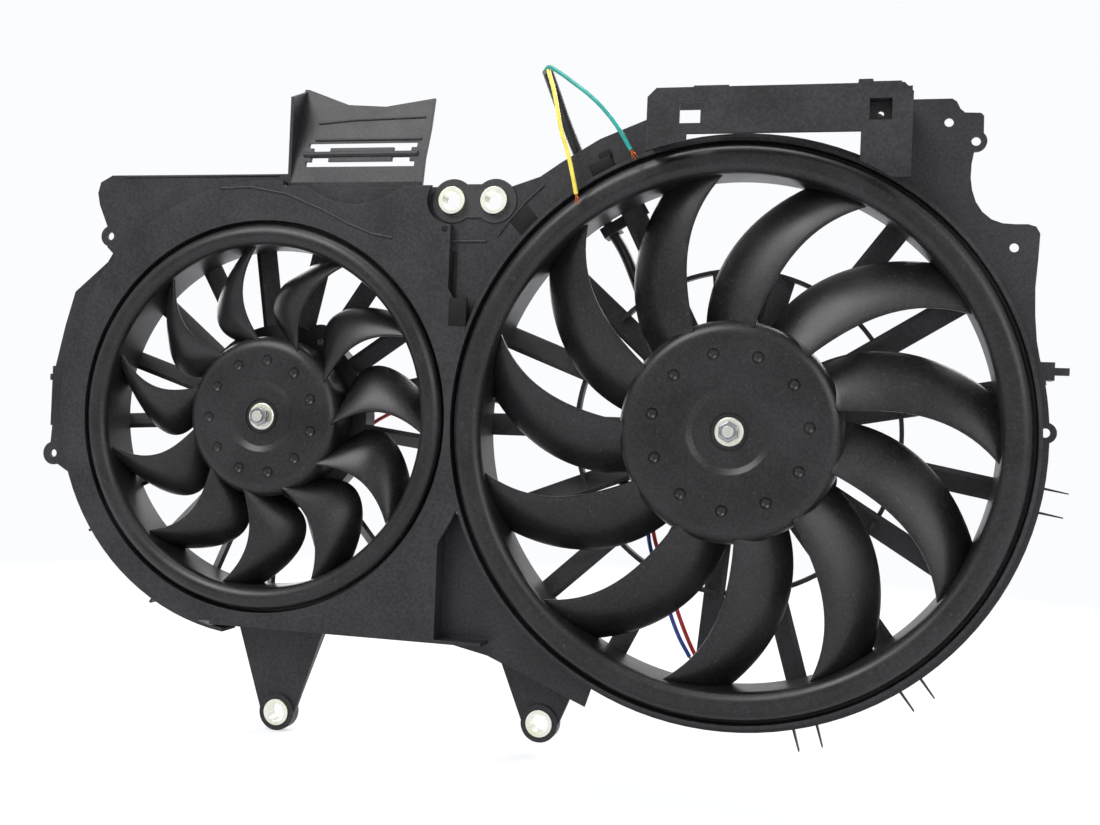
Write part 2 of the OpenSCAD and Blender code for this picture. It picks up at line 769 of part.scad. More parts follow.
// Band and rounded lip, as a closed profile of radius and depth
function lip_profile(lip_r, band_r) =
    let (
        inner = band_r - band_wall,
        nose = lip_nose_r,
        back = lip_nose_r - band_wall,
        c0 = inner + nose,
        c1 = lip_r - nose
    ) concat(
        [[inner, band_depth]],
        [for (a = [180:15:270]) [c0 + nose * cos(a), nose + nose * sin(a)]],
        [for (a = [270:15:360]) [c1 + nose * cos(a), nose + nose * sin(a)]],
        [[lip_r, lip_depth], [lip_r - band_wall, lip_depth]],
        [for (a = [360:-15:270]) [c1 + back * cos(a), nose + back * sin(a)]],
        [for (a = [270:-15:180]) [c0 + back * cos(a), nose + back * sin(a)]],
        [[band_r, band_depth]]
    );

// Hub cup with a rounded front edge, a central recess and a boss for the shaft
function hub_profile(r, recess_r) = concat(
    [[shaft_r, hub_face + recess_depth], [recess_r - 2, hub_face + recess_depth], [recess_r, hub_face]],
    [for (a = [270:15:360]) [r, hub_face] + hub_round * [cos(a) - 1, sin(a) + 1]],
    [
        [r, band_depth], [r - hub_wall, band_depth], [r - hub_wall, hub_face + 10],
        [r - hub_wall - 5, hub_face + hub_wall + 2], [recess_r + 6, hub_face + hub_wall],
        [recess_r + 3, hub_face + recess_depth + hub_wall], [boss_r, hub_face + recess_depth + hub_wall],
        [boss_r, hub_face + recess_depth + 7], [shaft_r, hub_face + recess_depth + 7]
    ]
);

module fan(at, lip_r, band_r, hub_r, recess_r, dimple_r, blades, edges, first) {
    color(plastic) part() {
        turned(at, lip_profile(lip_r, band_r));
        difference() {
            turned(at, hub_profile(hub_r, recess_r));
            for (i = [0:blades - 1]) let (p = polar(dimple_r, first + (i + 0.5) * 360 / blades))
                translate([at[0] + p[0], hub_face - 4, at[1] + p[1]]) sphere(r = 5.2, $fn = 32);
        }
        translate([at[0], 0, at[1]]) for (i = [0:blades - 1])
            rotate([0, -first - i * 360 / blades, 0])
                blade(edges, hub_r - hub_wall - 1, band_r - band_wall / 2);
    }
}

module large_fan() {
    fan(large_axis, large_lip_r, large_band_r, large_hub_d / 2, 27, 54, large_blades, large_edges, 87);
}

module small_fan() {
    fan(small_axis, small_lip_r, small_band_r, small_hub_d / 2, 24, 42, small_blades, small_edges, 101);
}

// Washer and hexagon nut in the hub's recess
module fan_nut(at) {
    base = hub_face + recess_depth;
    color(steel) part() difference() {
        union() {
            bar(at, base - washer_t, base, 20);
            translate([at[0], base - washer_t, at[1]]) rotate([90, 0, 0])
                cylinder(h = nut_t, d = 15, $fn = 6);
        }
        bar(at, base - 10, base + 1, shaft_d + 2 * seat_gap);
    }
}

module large_fan_nut() {
    fan_nut(large_axis);
}

module small_fan_nut() {
    fan_nut(small_axis);
}

module shaft(at, rear) {
    color(steel) part()
        bar(at, hub_face + recess_depth - washer_t - nut_t - 2, rear - can_wall - 1, shaft_d - 0.02);
}

module large_shaft() {
    shaft(large_axis, large_can_rear + 4);
}

module small_shaft() {
    shaft(small_axis, small_can_rear + 4);
}

// Slotted core of the armature
module armature(at, front, rear) {
    r = can_r - can_wall - magnet_t - air_gap;
    color(steel) part() slab(front, rear - front) on(at) difference() {
        disc(r);
        disc(shaft_r + seat_gap);
        for (i = [0:11]) rotate(i * 30) translate([r - 12, -1.5]) square([12.5, 3]);
    }
}

module large_armature() {
    armature(large_axis, core_front, large_core_rear);
}

module small_armature() {
    armature(small_axis, core_front, small_core_rear);
}

// End turns of the windings on both sides of the core
module windings(at, front, rear) {
    color(copper) part() for (y = [front - 6, rear]) turned(at, [
        [14, y + seat_gap], [28, y + seat_gap], [31, y + 2],
        [31, y + 4], [28, y + 6 - seat_gap], [14, y + 6 - seat_gap]
    ]);
}

module large_windings() {
    windings(large_axis, core_front, large_core_rear);
}

module small_windings() {
    windings(small_axis, core_front, small_core_rear);
}

module commutator(at) {
    color(copper) part() slab(core_front - 13, 13 - seat_gap) on(at) difference() {
        disc(13);
        disc(shaft_r + seat_gap);
        for (i = [0:11]) rotate(15 + i * 30) translate([10.5, -0.4]) square([3, 0.8]);
    }
}

module large_commutator() {
    commutator(large_axis);
}

module small_commutator() {
    commutator(small_axis);
}

// Room for the terminal block at the can's shoulder
module block_room(at, angle, rear, gap) {
    translate([at[0], 0, at[1]]) rotate([0, -angle, 0])
        translate([can_r - 13 - gap, rear - block_h - gap, -block_w / 2 - gap])
            cube([13 + 2 * gap, block_h + 1 + gap, block_w + 2 * gap]);
}

// Drawn can with a stepped boss at the rear
module can(at, front, rear, angle) {
    color(zinc) part() difference() {
        can_shell(at, front, rear);
        block_room(at, angle, rear, seat_gap);
    }
}

module can_shell(at, front, rear) {
    turned(at, [
        [can_r - can_wall, front], [can_r, front],
        [can_r, rear - 6], [can_r - 2, rear - 2], [can_r - 6, rear],
        [20, rear], [18, rear + 2], [12, rear + 2], [11, rear + 4], [0, rear + 4], [0, rear + 4 - can_wall],
        [9, rear + 4 - can_wall], [9, rear - can_wall], [can_r - can_wall - 5, rear - can_wall],
        [can_r - can_wall, rear - can_wall - 6]
    ]);
}

module large_can() {
    can(large_axis, can_front, large_can_rear, large_block_angle);
}

module small_can() {
    can(small_axis, can_front, small_can_rear, small_block_angle);
}

// Front cover of the motor with the front bearing's seat
module end_plate(at, front) {
    color(zinc) part() turned(at, [
        [7 + seat_gap, front - wall], [can_r, front - wall], [can_r, front], [12, front], [12, front + 4],
        [7 + seat_gap, front + 4]
    ]);
}

module large_end_plate() {
    end_plate(large_axis, can_front);
}

module small_end_plate() {
    end_plate(small_axis, can_front);
}

// Three-eared plate around the can
module lug_plate(at, angles) {
    color(zinc) part() slab(lug_y, lug_t) on(at) difference() {
        union() {
            disc(can_r + 3);
            for (a = angles) rotate(a) {
                translate([lug_r, 0]) disc(8);
                polygon([[can_r * 0.8, -22], [lug_r, -7.8], [lug_r, 7.8], [can_r * 0.8, 22]]);
            }
        }
        disc(can_r + seat_gap);
        for (a = angles) rotate(a) translate([lug_r, 0]) disc(screw_r + seat_gap);
    }
}

module large_lug_plate() {
    lug_plate(large_axis, large_lugs);
}

module small_lug_plate() {
    lug_plate(small_axis, small_lugs);
}

module screws(at, angles) {
    color(steel) part() for (a = angles) let (p = polar(lug_r, a), q = [at[0] + p[0], at[1] + p[1]]) {
        bar(q, carrier_y + 1, lug_y + lug_t + 0.5, 2 * screw_r);
        bar(q, lug_y + lug_t, lug_y + lug_t + 2.5, 9);
    }
}

module large_screws() {
    screws(large_axis, large_lugs);
}

module small_screws() {
    screws(small_axis, small_lugs);
}

// Two curved magnets inside the can
module magnets(at, front, rear, turn) {
    r = can_r - can_wall - seat_gap;
    color(plastic_light) part() slab(front, rear - front) on(at) difference() {
        disc(r);
        disc(r - magnet_t + seat_gap);
        for (a = [0, 180]) rotate(turn + a) polygon(wedge(r * 1.5, -25, 25));
    }
}

module large_magnets() {
    magnets(large_axis, core_front - 2, large_core_rear + 2, 20);
}

module small_magnets() {
    magnets(small_axis, core_front - 2, small_core_rear + 2, 0);
}

// Carbon brushes on both sides of the commutator
module brushes(at, y) {
    color(plastic_light) part() for (side = [-1, 1])
        translate([at[0] + side * 19.3 - 6, y + 1, at[1] - 4]) cube([12, 7, 8]);
}

module large_brushes() {
    brushes(large_axis, can_front + 4);
}

module small_brushes() {
    brushes(small_axis, can_front + 4);
}

module bearing(at, y0, y1, r) {
    color(steel) part() slab(y0, y1 - y0) on(at) difference() {
        disc(r);
        disc(shaft_r - 0.01 + shaft_clear);
    }
}

module large_front_bearing() {
    bearing(large_axis, can_front - wall, can_front + 4, 7);
}

module small_front_bearing() {
    bearing(small_axis, can_front - wall, can_front + 4, 7);
}

module large_rear_bearing() {
    bearing(large_axis, large_can_rear - can_wall, large_can_rear + 4 - can_wall - seat_gap, 9 - seat_gap);
}

module small_rear_bearing() {
    bearing(small_axis, small_can_rear - can_wall, small_can_rear + 4 - can_wall - seat_gap, 9 - seat_gap);
}

// Plastic terminal block in the can's shoulder
module large_terminals() {
    color(plastic) part() block_room(large_axis, large_block_angle, large_can_rear, 0);
}

module small_terminals() {
    color(plastic) part() block_room(small_axis, small_block_angle, small_can_rear, 0);
}

// Clip on a spoke around the large motor's lead
module lead_clip_spoke() {
    color(plastic) part() translate([large_axis[0] - 97, 61, large_axis[1] + 144]) rotate([0, -31, 0]) {
        difference() {
            translate([-6.5, collar_y - 61, -4]) cube([13, 67.5 - collar_y, 8]);
            translate([0, 0, -5]) cylinder(h = 10, d = lead_d + 0.8, $fn = 48);
        }
        translate([6, collar_y - 61, -4]) cube([25, 2.5, 8]);
    }
}

// Clip on the web between the fans around the small motor's lead
module lead_clip_web() {
    color(plastic) part() translate([large_axis[0] - large_collar_r - 13.4, 58, large_axis[1] + 19.6]) {
        difference() {
            translate([-8, collar_y - 58, -7]) cube([16, 65 - collar_y, 14]);
            translate([-9, 0, 0]) rotate([0, 90, 0]) cylinder(h = 18, d = lead_d + 0.8, $fn = 48);
        }
        translate([-14, collar_y - 58, -6]) cube([28, 1.6, 12]);
    }
}

// Routes of the leads and wires: across, depth and height from the large fan's axis
large_lead_route = [
    [-68, 60, 84], [-77, 61, 106], [-87, 61, 128], [-97, 61, 144], [-106, 61, 160], [-114, 58, 179],
    [-123, 52, 200], [-131, 42, 221], [-136, 30, 238], [-139, 15, 251]
];
small_lead_route = [
    [-265, 62, 5], [-247, 62, 15], [-229, 60, 20], [-213, 58, 20], [-198, 58, 19.6], [-183, 58, 19],
    [-166, 58, 14], [-142, 58, 5], [-119, 58, -7], [-98, 58, -21], [-82, 59, -38],
    [-67, 60, -55], [-60, 60, -65]
];
yellow_feed_route = [
    [-43.3, 63, 26.7], [-48.7, 63, 29.3], [-53.5, 63, 34], [-58, 63, 43], [-62, 63, 55], [-65, 62, 69],
    [-67, 60, 83]
];
teal_feed_route = [
    [-47.7, 63, 17.7], [-53.1, 63, 20.3], [-58.8, 63, 24.5], [-64, 63, 33], [-68, 63, 46], [-70, 62, 62],
    [-70, 60, 83]
];
yellow_tail_route = [
    [-138, 14, 252], [-136, 8, 248], [-131, 2, 236], [-127, -2, 223], [-122, -6, 204], [-117, -7, 190],
    [-112, -8, 172], [-109, -8, 159]
];
teal_tail_route = [
    [-140, 14, 252], [-136, 9, 252], [-128, 4, 247], [-116, -1, 238], [-102, -5, 227], [-90, -7, 215],
    [-80, -8, 202], [-72, -8, 189]
];
red_feed_route = [[-296.4, 71, -6.2], [-290.4, 71, -5.8], [-283, 69, -5], [-275, 66, -1], [-266, 62, 3]];
blue_feed_route = [[-297.4, 71, 7.8], [-291.4, 71, 8.2], [-284, 69, 8.5], [-275, 66, 7.5], [-266, 62, 6]];
red_tail_route = [
    [-59, 60, -65], [-56, 60, -80], [-51, 60, -94], [-43, 60, -116], [-30, 59, -148], [-20, 58, -167]
];
blue_tail_route = [
    [-62, 60, -66], [-60, 60, -82], [-56, 60, -96], [-48, 60, -118], [-36, 59, -148], [-27, 58, -163]
];

// Tube swept along a route, with one ring of corners at each of its points
function unit(v) = v / norm(v);
function heading(route, i) = unit(route[min(i + 1, len(route) - 1)] - route[max(i - 1, 0)]);
function tube_points(route, r, n) = [
    for (i = [0:len(route) - 1])
        let (t = heading(route, i), u = unit(cross(t, [0, 1, 0])), v = cross(t, u))
            for (k = [0:n - 1]) route[i] + r * cos(k * 360 / n) * u + r * sin(k * 360 / n) * v
];
function tube_faces(rings, n) = concat(
    [[for (k = [0:n - 1]) n - 1 - k]],
    [for (i = [0:rings - 2]) for (k = [0:n - 1])
        let (a = i * n + k, b = i * n + (k + 1) % n) for (f = [[a, b, b + n], [a, b + n, a + n]]) f],
    [[for (k = [0:n - 1]) (rings - 1) * n + k]]
);

module tube(route, d, n = 8) {
    part() translate([large_axis[0], 0, large_axis[1]])
        polyhedron(points = tube_points(route, d / 2, n), faces = tube_faces(len(route), n), convexity = 8);
}

module large_lead() {
    color(plastic) tube(large_lead_route, lead_d, 10);
}

module small_lead() {
    color(plastic) tube(small_lead_route, lead_d, 10);
}

module yellow_feed() {
    color("gold") tube(yellow_feed_route, wire_d);
}

module teal_feed() {
    color("teal") tube(teal_feed_route, wire_d);
}

module yellow_tail() {
    color("gold") tube(yellow_tail_route, wire_d);
}

module teal_tail() {
    color("teal") tube(teal_tail_route, wire_d);
}

module red_feed() {
    color("red") tube(red_feed_route, wire_d);
}

module blue_feed() {
    color("blue") tube(blue_feed_route, wire_d);
}

module red_tail() {
    color("red") tube(red_tail_route, wire_d);
}

module blue_tail() {
    color("blue") tube(blue_tail_route, wire_d);
}

shroud_panel();
large_collar();
small_collar();
large_stator();
small_stator();
top_bracket();
top_rail();
air_deflector();
upper_mount_plate();
upper_sleeve_inner();
upper_sleeve_outer();
lower_sleeve_large();
lower_sleeve_small();
locator_left();
locator_right();
large_fan();
large_fan_nut();
large_shaft();
large_armature();
large_windings();
large_commutator();
large_can();
large_end_plate();
large_lug_plate();
large_screws();
large_magnets();
large_brushes();
large_front_bearing();
large_rear_bearing();
large_terminals();
small_fan();
small_fan_nut();
small_shaft();
small_armature();
small_windings();
small_commutator();
small_can();
small_end_plate();
small_lug_plate();
small_screws();
small_magnets();
small_brushes();
small_front_bearing();
small_rear_bearing();
small_terminals();
lead_clip_spoke();
lead_clip_web();
large_lead();
yellow_feed();
teal_feed();
yellow_tail();
teal_tail();
small_lead();
red_feed();
blue_feed();
red_tail();
blue_tail();
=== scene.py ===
"""Looks of a radiator cooling fan: two fans with their motors in one moulded shroud.

The scene is in metres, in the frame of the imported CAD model: +Z up, the fans' side
towards -Y, and the origin at the front of the lower sleeve beside the large fan. Sizes
in the classes' fields are in millimetres where their docstrings or names say so.
"""

import logging
import math
from collections.abc import Sequence
from dataclasses import dataclass
from enum import Enum

import bpy
from bpy.types import Material, Node, NodeSocket, NodeTree, Object, World
from mathutils import Matrix, Vector


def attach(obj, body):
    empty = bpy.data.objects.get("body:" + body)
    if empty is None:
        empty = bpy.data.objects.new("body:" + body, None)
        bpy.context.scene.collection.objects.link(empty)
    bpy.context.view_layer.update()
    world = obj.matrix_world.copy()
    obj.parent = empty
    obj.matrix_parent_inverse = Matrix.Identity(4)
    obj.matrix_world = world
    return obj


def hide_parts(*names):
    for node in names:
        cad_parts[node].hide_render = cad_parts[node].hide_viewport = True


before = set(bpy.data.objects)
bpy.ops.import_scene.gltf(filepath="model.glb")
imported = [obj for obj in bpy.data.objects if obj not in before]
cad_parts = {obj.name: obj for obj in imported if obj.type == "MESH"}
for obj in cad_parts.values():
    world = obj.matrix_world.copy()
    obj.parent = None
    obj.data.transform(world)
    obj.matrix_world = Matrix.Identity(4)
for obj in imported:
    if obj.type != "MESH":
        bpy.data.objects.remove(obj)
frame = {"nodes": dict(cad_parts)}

LOG = logging.getLogger("cooling_fan")
MM = 0.001
LIP_PLANE = -37 * MM  # depth of the front of the fan lips
HAIR = 0.2  # millimetres from its axis at which a turned profile ends

Point = tuple[float, float, float]
Colour = tuple[float, float, float, float]
Profile = tuple[tuple[float, float], ...]  # radius and depth of each step


# Node and colour helpers


def linear(code: str) -> Colour:
    """Turns an sRGB hex value into the linear colour that Blender's sockets take.

    Args:
        code: Six hex digits after a hash sign.

    Returns:
        Red, green, blue and an alpha of 1.
    """
    parts = [int(code[i:i + 2], 16) / 255 for i in (1, 3, 5)]
    red, green, blue = (c / 12.92 if c <= 0.04045 else ((c + 0.055) / 1.055) ** 2.4 for c in parts)
    return red, green, blue, 1.0


def empty_tree(owner: Material | World) -> NodeTree:
    """Gives a material or a world an empty node tree.

    Args:
        owner: The material or the world.

    Returns:
        Its node tree.
    """
    owner.use_nodes = True
    owner.node_tree.nodes.clear()
    return owner.node_tree


def add_node(tree: NodeTree, kind: str, feeds: dict[str | int, object] | None = None,
             **settings: object) -> Node:
    """Adds a node with its settings, and fills or links its inputs.

    Args:
        tree: The node tree of a material or of the world.
        kind: The node's type without its leading words.
        feeds: For each input socket, a number, a colour or the output that feeds it.
        settings: Properties of the node itself.

    Returns:
        The new node.
    """
    node = tree.nodes.new("ShaderNode" + kind)
    for name, value in settings.items():
        setattr(node, name, value)
    for socket, value in (feeds or {}).items():
        if isinstance(value, NodeSocket):
            tree.links.new(value, node.inputs[socket])
        else:
            node.inputs[socket].default_value = value
    return node


# Finishes


@dataclass(frozen=True)
class Finish:
    """A material with a base colour, gloss and fine relief, on Object coordinates."""

    name: str
    colour: str
    roughness: float
    metallic: float = 0.0
    specular: float = 0.5
    grain_mm: float = 1.6
    grain_depth_mm: float = 0.03
    edge_mm: float = 0.0
    cloud_mm: float = 20
    smoother: float = 0.05
    rougher: float = 0.1

    def material(self) -> Material:
        """Builds the material.

        Returns:
            The material, ready to go into a slot.
        """
        made = bpy.data.materials.new(self.name)
        tree = empty_tree(made)
        place = add_node(tree, "TexCoord").outputs["Object"]
        gloss = {"Metallic": self.metallic, "Specular IOR Level": self.specular}
        shader = add_node(tree, "BsdfPrincipled", gloss)
        self.dress(tree, place, shader)
        add_node(tree, "OutputMaterial", {"Surface": shader.outputs[0]})
        return made

    def relief(self, tree: NodeTree, height: NodeSocket) -> NodeSocket:
        """Turns a height into a normal of the grain's depth, over rounded edges where the finish has them.

        Args:
            tree: The material's node tree.
            height: Height from 0 to 1.

        Returns:
            The normal output.
        """
        feeds: dict[str | int, object] = {"Height": height, "Strength": 1.0}
        feeds["Distance"] = self.grain_depth_mm * MM
        if self.edge_mm:
            feeds["Normal"] = add_node(tree, "Bevel", {"Radius": self.edge_mm * MM}, samples=4).outputs[0]
        return add_node(tree, "Bump", feeds).outputs[0]

    def noise(self, tree: NodeTree, place: NodeSocket, size_mm: float, detail: float) -> NodeSocket:
        """Gives a noise from 0 to 1, whose lumps have a size in millimetres and octaves of detail on top."""
        feeds = {"Vector": place, "Scale": 1000 / size_mm, "Detail": detail}
        return add_node(tree, "TexNoise", feeds).outputs["Fac"]

    def spread(self, tree: NodeTree, value: NodeSocket, low: float, high: float,
               start: float = 0.3, end: float = 0.7) -> NodeSocket:
        """Maps a value from the range start to end onto the range low to high."""
        feeds = {"Value": value, "From Min": start, "From Max": end, "To Min": low, "To Max": high}
        return add_node(tree, "MapRange", feeds).outputs["Result"]

    def blend(self, tree: NodeTree, share: NodeSocket, first: Colour | NodeSocket,
              second: Colour | NodeSocket) -> NodeSocket:
        """Mixes two colours by the share of the second."""
        feeds = {"Factor": share, "A": first, "B": second}
        return add_node(tree, "Mix", feeds, data_type="RGBA").outputs["Result"]

    def dress(self, tree: NodeTree, place: NodeSocket, shader: Node) -> None:
        """Fills the shader's colour, roughness and normal, in each kind of finish its own way."""
        raise NotImplementedError

    def feed(self, tree: NodeTree, shader: Node, colour: NodeSocket,
             cloud: NodeSocket, height: NodeSocket) -> None:
        """Links the colour, a roughness that drifts with the clouds, and the relief.

        Args:
            tree: The material's node tree.
            shader: The principled shader.
            colour: The finished colour.
            cloud: The broad noise that the roughness follows.
            height: Height of the fine relief.
        """
        gloss = self.spread(tree, cloud, self.roughness - self.smoother, self.roughness + self.rougher)
        tree.links.new(colour, shader.inputs["Base Color"])
        tree.links.new(gloss, shader.inputs["Roughness"])
        tree.links.new(self.relief(tree, height), shader.inputs["Normal"])


@dataclass(frozen=True)
class MouldedPlastic(Finish):
    """Filled polyamide, injection moulded: near black, satin, with cloudy flow marks and dust.

    The filler's flecks on a real part are too fine to show, so they are drawn wider.
    """

    cloud_mm: float = 38
    smoother: float = 0.06
    rougher: float = 0.08
    fleck_mm: float = 1.9
    speck_mm: float = 2.4
    pale: str = "#3a3c40"
    dust: float = 0.02
    dust_colour: str = "#8c8f92"

    def dress(self, tree: NodeTree, place: NodeSocket, shader: Node) -> None:
        """Lays clouds of filler at the surface, a fine spark grain and specks of dust.

        Args:
            tree: The material's node tree.
            place: Object coordinates.
            shader: The principled shader.
        """
        cloud = self.noise(tree, place, self.cloud_mm, 4)
        grain = self.noise(tree, place, self.grain_mm, 1)
        fleck = self.noise(tree, place, self.fleck_mm, 3)
        share = self.spread(tree, cloud, 0.1, 0.7)
        flecks = self.spread(tree, fleck, -0.45, 0.5)
        mottled = add_node(tree, "Math", {0: share, 1: flecks}, operation="ADD").outputs[0]
        base = self.blend(tree, mottled, linear(self.colour), linear(self.pale))
        speck = self.noise(tree, place, self.speck_mm, 0)
        specks = self.spread(tree, speck, 0.0, self.dust, 0.72, 0.86)
        dusty = self.blend(tree, specks, base, linear(self.dust_colour))
        self.feed(tree, shader, dusty, cloud, grain)


@dataclass(frozen=True)
class PlatedSteel(Finish):
    """Plated drawn or turned steel: bright, with working marks around the axis and rubbed smudges."""

    cloud_mm: float = 16
    smoother: float = 0.08
    rougher: float = 0.1
    smudge: str = "#868e94"
    lines_mm: float = 1.2
    stretch: Point = (0.35, 1.0, 0.35)

    def dress(self, tree: NodeTree, place: NodeSocket, shader: Node) -> None:
        """Lays soft smudges and fine lines across the depth.

        Args:
            tree: The material's node tree.
            place: Object coordinates.
            shader: The principled shader.
        """
        cloud = self.noise(tree, place, self.cloud_mm, 3)
        stretched = add_node(tree, "Mapping", {"Vector": place, "Scale": self.stretch}).outputs[0]
        lines = self.noise(tree, stretched, self.lines_mm, 3)
        rubbed = self.spread(tree, cloud, 0.0, 0.7)
        base = self.blend(tree, rubbed, linear(self.colour), linear(self.smudge))
        self.feed(tree, shader, base, cloud, lines)


@dataclass(frozen=True)
class Insulation(Finish):
    """Extruded PVC on a wire: even colour, slightly waxy, with faint handling marks."""

    cloud_mm: float = 9
    smoother: float = 0.05
    rougher: float = 0.1
    peel_mm: float = 2
    shade: float = 0.72

    def dress(self, tree: NodeTree, place: NodeSocket, shader: Node) -> None:
        """Lays a little light and shade along the wire, and a soft orange-peel surface.

        Args:
            tree: The material's node tree.
            place: Object coordinates.
            shader: The principled shader.
        """
        cloud = self.noise(tree, place, self.cloud_mm, 2)
        deep = linear(self.colour)
        worn = tuple(c * self.shade for c in deep[:3]) + (1.0,)
        handled = self.spread(tree, cloud, 0.0, 1.0)
        peel = self.noise(tree, place, self.peel_mm, 1)
        self.feed(tree, shader, self.blend(tree, handled, deep, worn), cloud, peel)


class Look(Enum):
    """The finishes of the object, each named for its material and how its surface was made."""

    # Shroud: black glass-filled nylon out of the mould, satin, with rounded edges that catch light
    SHROUD = MouldedPlastic("glass_filled_nylon_moulded", "#121113", 0.46, specular=0.3, pale="#29272a",
                            edge_mm=0.7)
    # Fans: mineral-filled nylon, a touch glossier and darker, with a sparkling fine grain
    FAN = MouldedPlastic("mineral_filled_nylon_moulded", "#0c0b0c", 0.35, specular=0.3, pale="#201e20",
                         grain_mm=1.3, grain_depth_mm=0.06, dust=0.06)
    # Mount plate: unfilled nylon, greyer and duller than the shroud
    PLATE = MouldedPlastic("grey_nylon_moulded", "#202021", 0.55, specular=0.35, pale="#303031", edge_mm=0.6)
    # Motor cans, lug plates: zinc-plated deep-drawn steel, bright with soft smudges
    ZINC = PlatedSteel("zinc_plated_steel_drawn", "#c4c9cd", 0.27, metallic=1.0, grain_depth_mm=0.012,
                       edge_mm=0.4)
    # Screws, shafts, bearings: turned steel, brighter and sharper
    STEEL = PlatedSteel("bright_steel_turned", "#e2e1dc", 0.22, metallic=1.0, smudge="#b6b2a6", lines_mm=0.7,
                        grain_depth_mm=0.01, edge_mm=0.3)
    # Windings, commutator, bare wire ends: copper, warm and soft
    COPPER = PlatedSteel("copper_enamelled_wound", "#c46a35", 0.35, metallic=1.0, smudge="#8a4421",
                         lines_mm=0.8)
    # Magnets and brushes: sintered ferrite and carbon, dark and dry
    FERRITE = MouldedPlastic("ferrite_sintered", "#2b2b2d", 0.7, pale="#38383a", dust=0.0)
    # Cable tie and rim clip: black rubber, matt, darker than the shroud; as thin pads in the panel's slot,
    # pockets and holes, the same matt black is painted shade
    RUBBER_AND_SHADE = MouldedPlastic("black_rubber_and_painted_shade", "#070707", 0.7, specular=0.2, pale="#101011", dust=0.0)
    # Mounting sleeves and washers: steel under pale yellow chromated zinc, with a straw-coloured tint
    CHROMATE = PlatedSteel("yellow_chromated_steel", "#dededa", 0.3, metallic=1.0, smudge="#cfcfae",
                           lines_mm=0.9, grain_depth_mm=0.008, edge_mm=0.4)
    # Hexagon nuts: rolled steel under worn zinc, darker than their washers
    HEXAGON = PlatedSteel("worn_zinc_hexagon_steel", "#9b9da0", 0.2, metallic=1.0, smudge="#5f6164",
                          lines_mm=0.8, grain_depth_mm=0.012, edge_mm=0.3)
    # Lead sleeves: black PVC tube, smooth and slightly shiny
    SLEEVE = Insulation("black_pvc_extruded", "#161617", 0.38, grain_depth_mm=0.02)
    # Wires: coloured PVC, waxy and even
    YELLOW = Insulation("yellow_pvc_extruded", "#e6d04e", 0.4, grain_depth_mm=0.015)
    TEAL = Insulation("teal_pvc_extruded", "#0f8f86", 0.4, grain_depth_mm=0.015)
    RED = Insulation("red_pvc_extruded", "#c9281f", 0.4, grain_depth_mm=0.015)
    BLUE = Insulation("blue_pvc_extruded", "#2f4fa8", 0.4, grain_depth_mm=0.015)


class Palette:
    """Makes each look's material once and paints pieces with it."""

    def __init__(self) -> None:
        """Starts with no material made."""
        self.made: dict[Look, Material] = {}

    def paint(self, piece: Object, look: Look) -> None:
        """Puts a look's material on a piece, in its only slot.

        Args:
            piece: A mesh or curve object.
            look: The finish that it gets.
        """
        if look not in self.made:
            self.made[look] = look.value.material()
        piece.data.materials.clear()
        piece.data.materials.append(self.made[look])


# Bench tools: primitives shaped with operators, as by hand


def clear_selection() -> None:
    """Leaves nothing selected, in object mode."""
    if bpy.context.object and bpy.context.object.mode != "OBJECT":
        bpy.ops.object.mode_set(mode="OBJECT")
    bpy.ops.object.select_all(action="DESELECT")


def pick(piece: Object) -> None:
    """Makes a piece the only selected and the active one.

    Args:
        piece: The object.
    """
    clear_selection()
    piece.select_set(True)
    bpy.context.view_layer.objects.active = piece


def settle(piece: Object) -> Object:
    """Puts a piece's place and scale into its mesh, so that its object is at the origin.

    Args:
        piece: The object.

    Returns:
        The same object.
    """
    pick(piece)
    bpy.ops.object.transform_apply(location=True, rotation=True, scale=True)
    return piece


def apply(piece: Object, kind: str, **settings: object) -> Object:
    """Adds a modifier with its settings and applies it.

    Args:
        piece: The object.
        kind: The modifier's type.
        settings: The modifier's properties.

    Returns:
        The same object.
    """
    pick(piece)
    modifier = piece.modifiers.new(kind.lower(), kind)
    for name, value in settings.items():
        setattr(modifier, name, value)
    bpy.ops.object.modifier_apply(modifier=modifier.name)
    return piece


def smooth(piece: Object, angle: float = 32) -> Object:
    """Shades a piece smooth, except across edges sharper than an angle.

    Args:
        piece: The object.
        angle: The angle in degrees.

    Returns:
        The same object.
    """
    pick(piece)
    bpy.ops.object.shade_smooth_by_angle(angle=math.radians(angle))
    return piece


def outward(piece: Object) -> Object:
    """Merges doubles and turns every face outwards.

    Args:
        piece: The object.

    Returns:
        The same object.
    """
    pick(piece)
    bpy.ops.object.mode_set(mode="EDIT")
    bpy.ops.mesh.select_all(action="SELECT")
    bpy.ops.mesh.remove_doubles(threshold=1e-6)
    bpy.ops.mesh.normals_make_consistent(inside=False)
    bpy.ops.object.mode_set(mode="OBJECT")
    return piece


def join(name: str, pieces: Sequence[Object]) -> Object:
    """Joins pieces into the first of them.

    Args:
        name: The joined piece's name.
        pieces: The objects.

    Returns:
        The joined object.
    """
    pick(pieces[0])
    for piece in pieces[1:]:
        piece.select_set(True)
    if len(pieces) > 1:
        bpy.ops.object.join()
    pieces[0].name = name
    pieces[0].data.name = name
    return pieces[0]


def copies(piece: Object, places: Sequence[Matrix]) -> list[Object]:
    """Copies a piece, each copy with its own mesh, moved by a matrix, and removes the first.

    Args:
        piece: The object, with its place in its mesh.
        places: One matrix for each copy.

    Returns:
        The copies.
    """
    made = []
    for place in places:
        copy = piece.copy()
        copy.data = piece.data.copy()
        copy.data.transform(place)
        bpy.context.scene.collection.objects.link(copy)
        made.append(copy)
    bpy.data.objects.remove(piece)
    return made


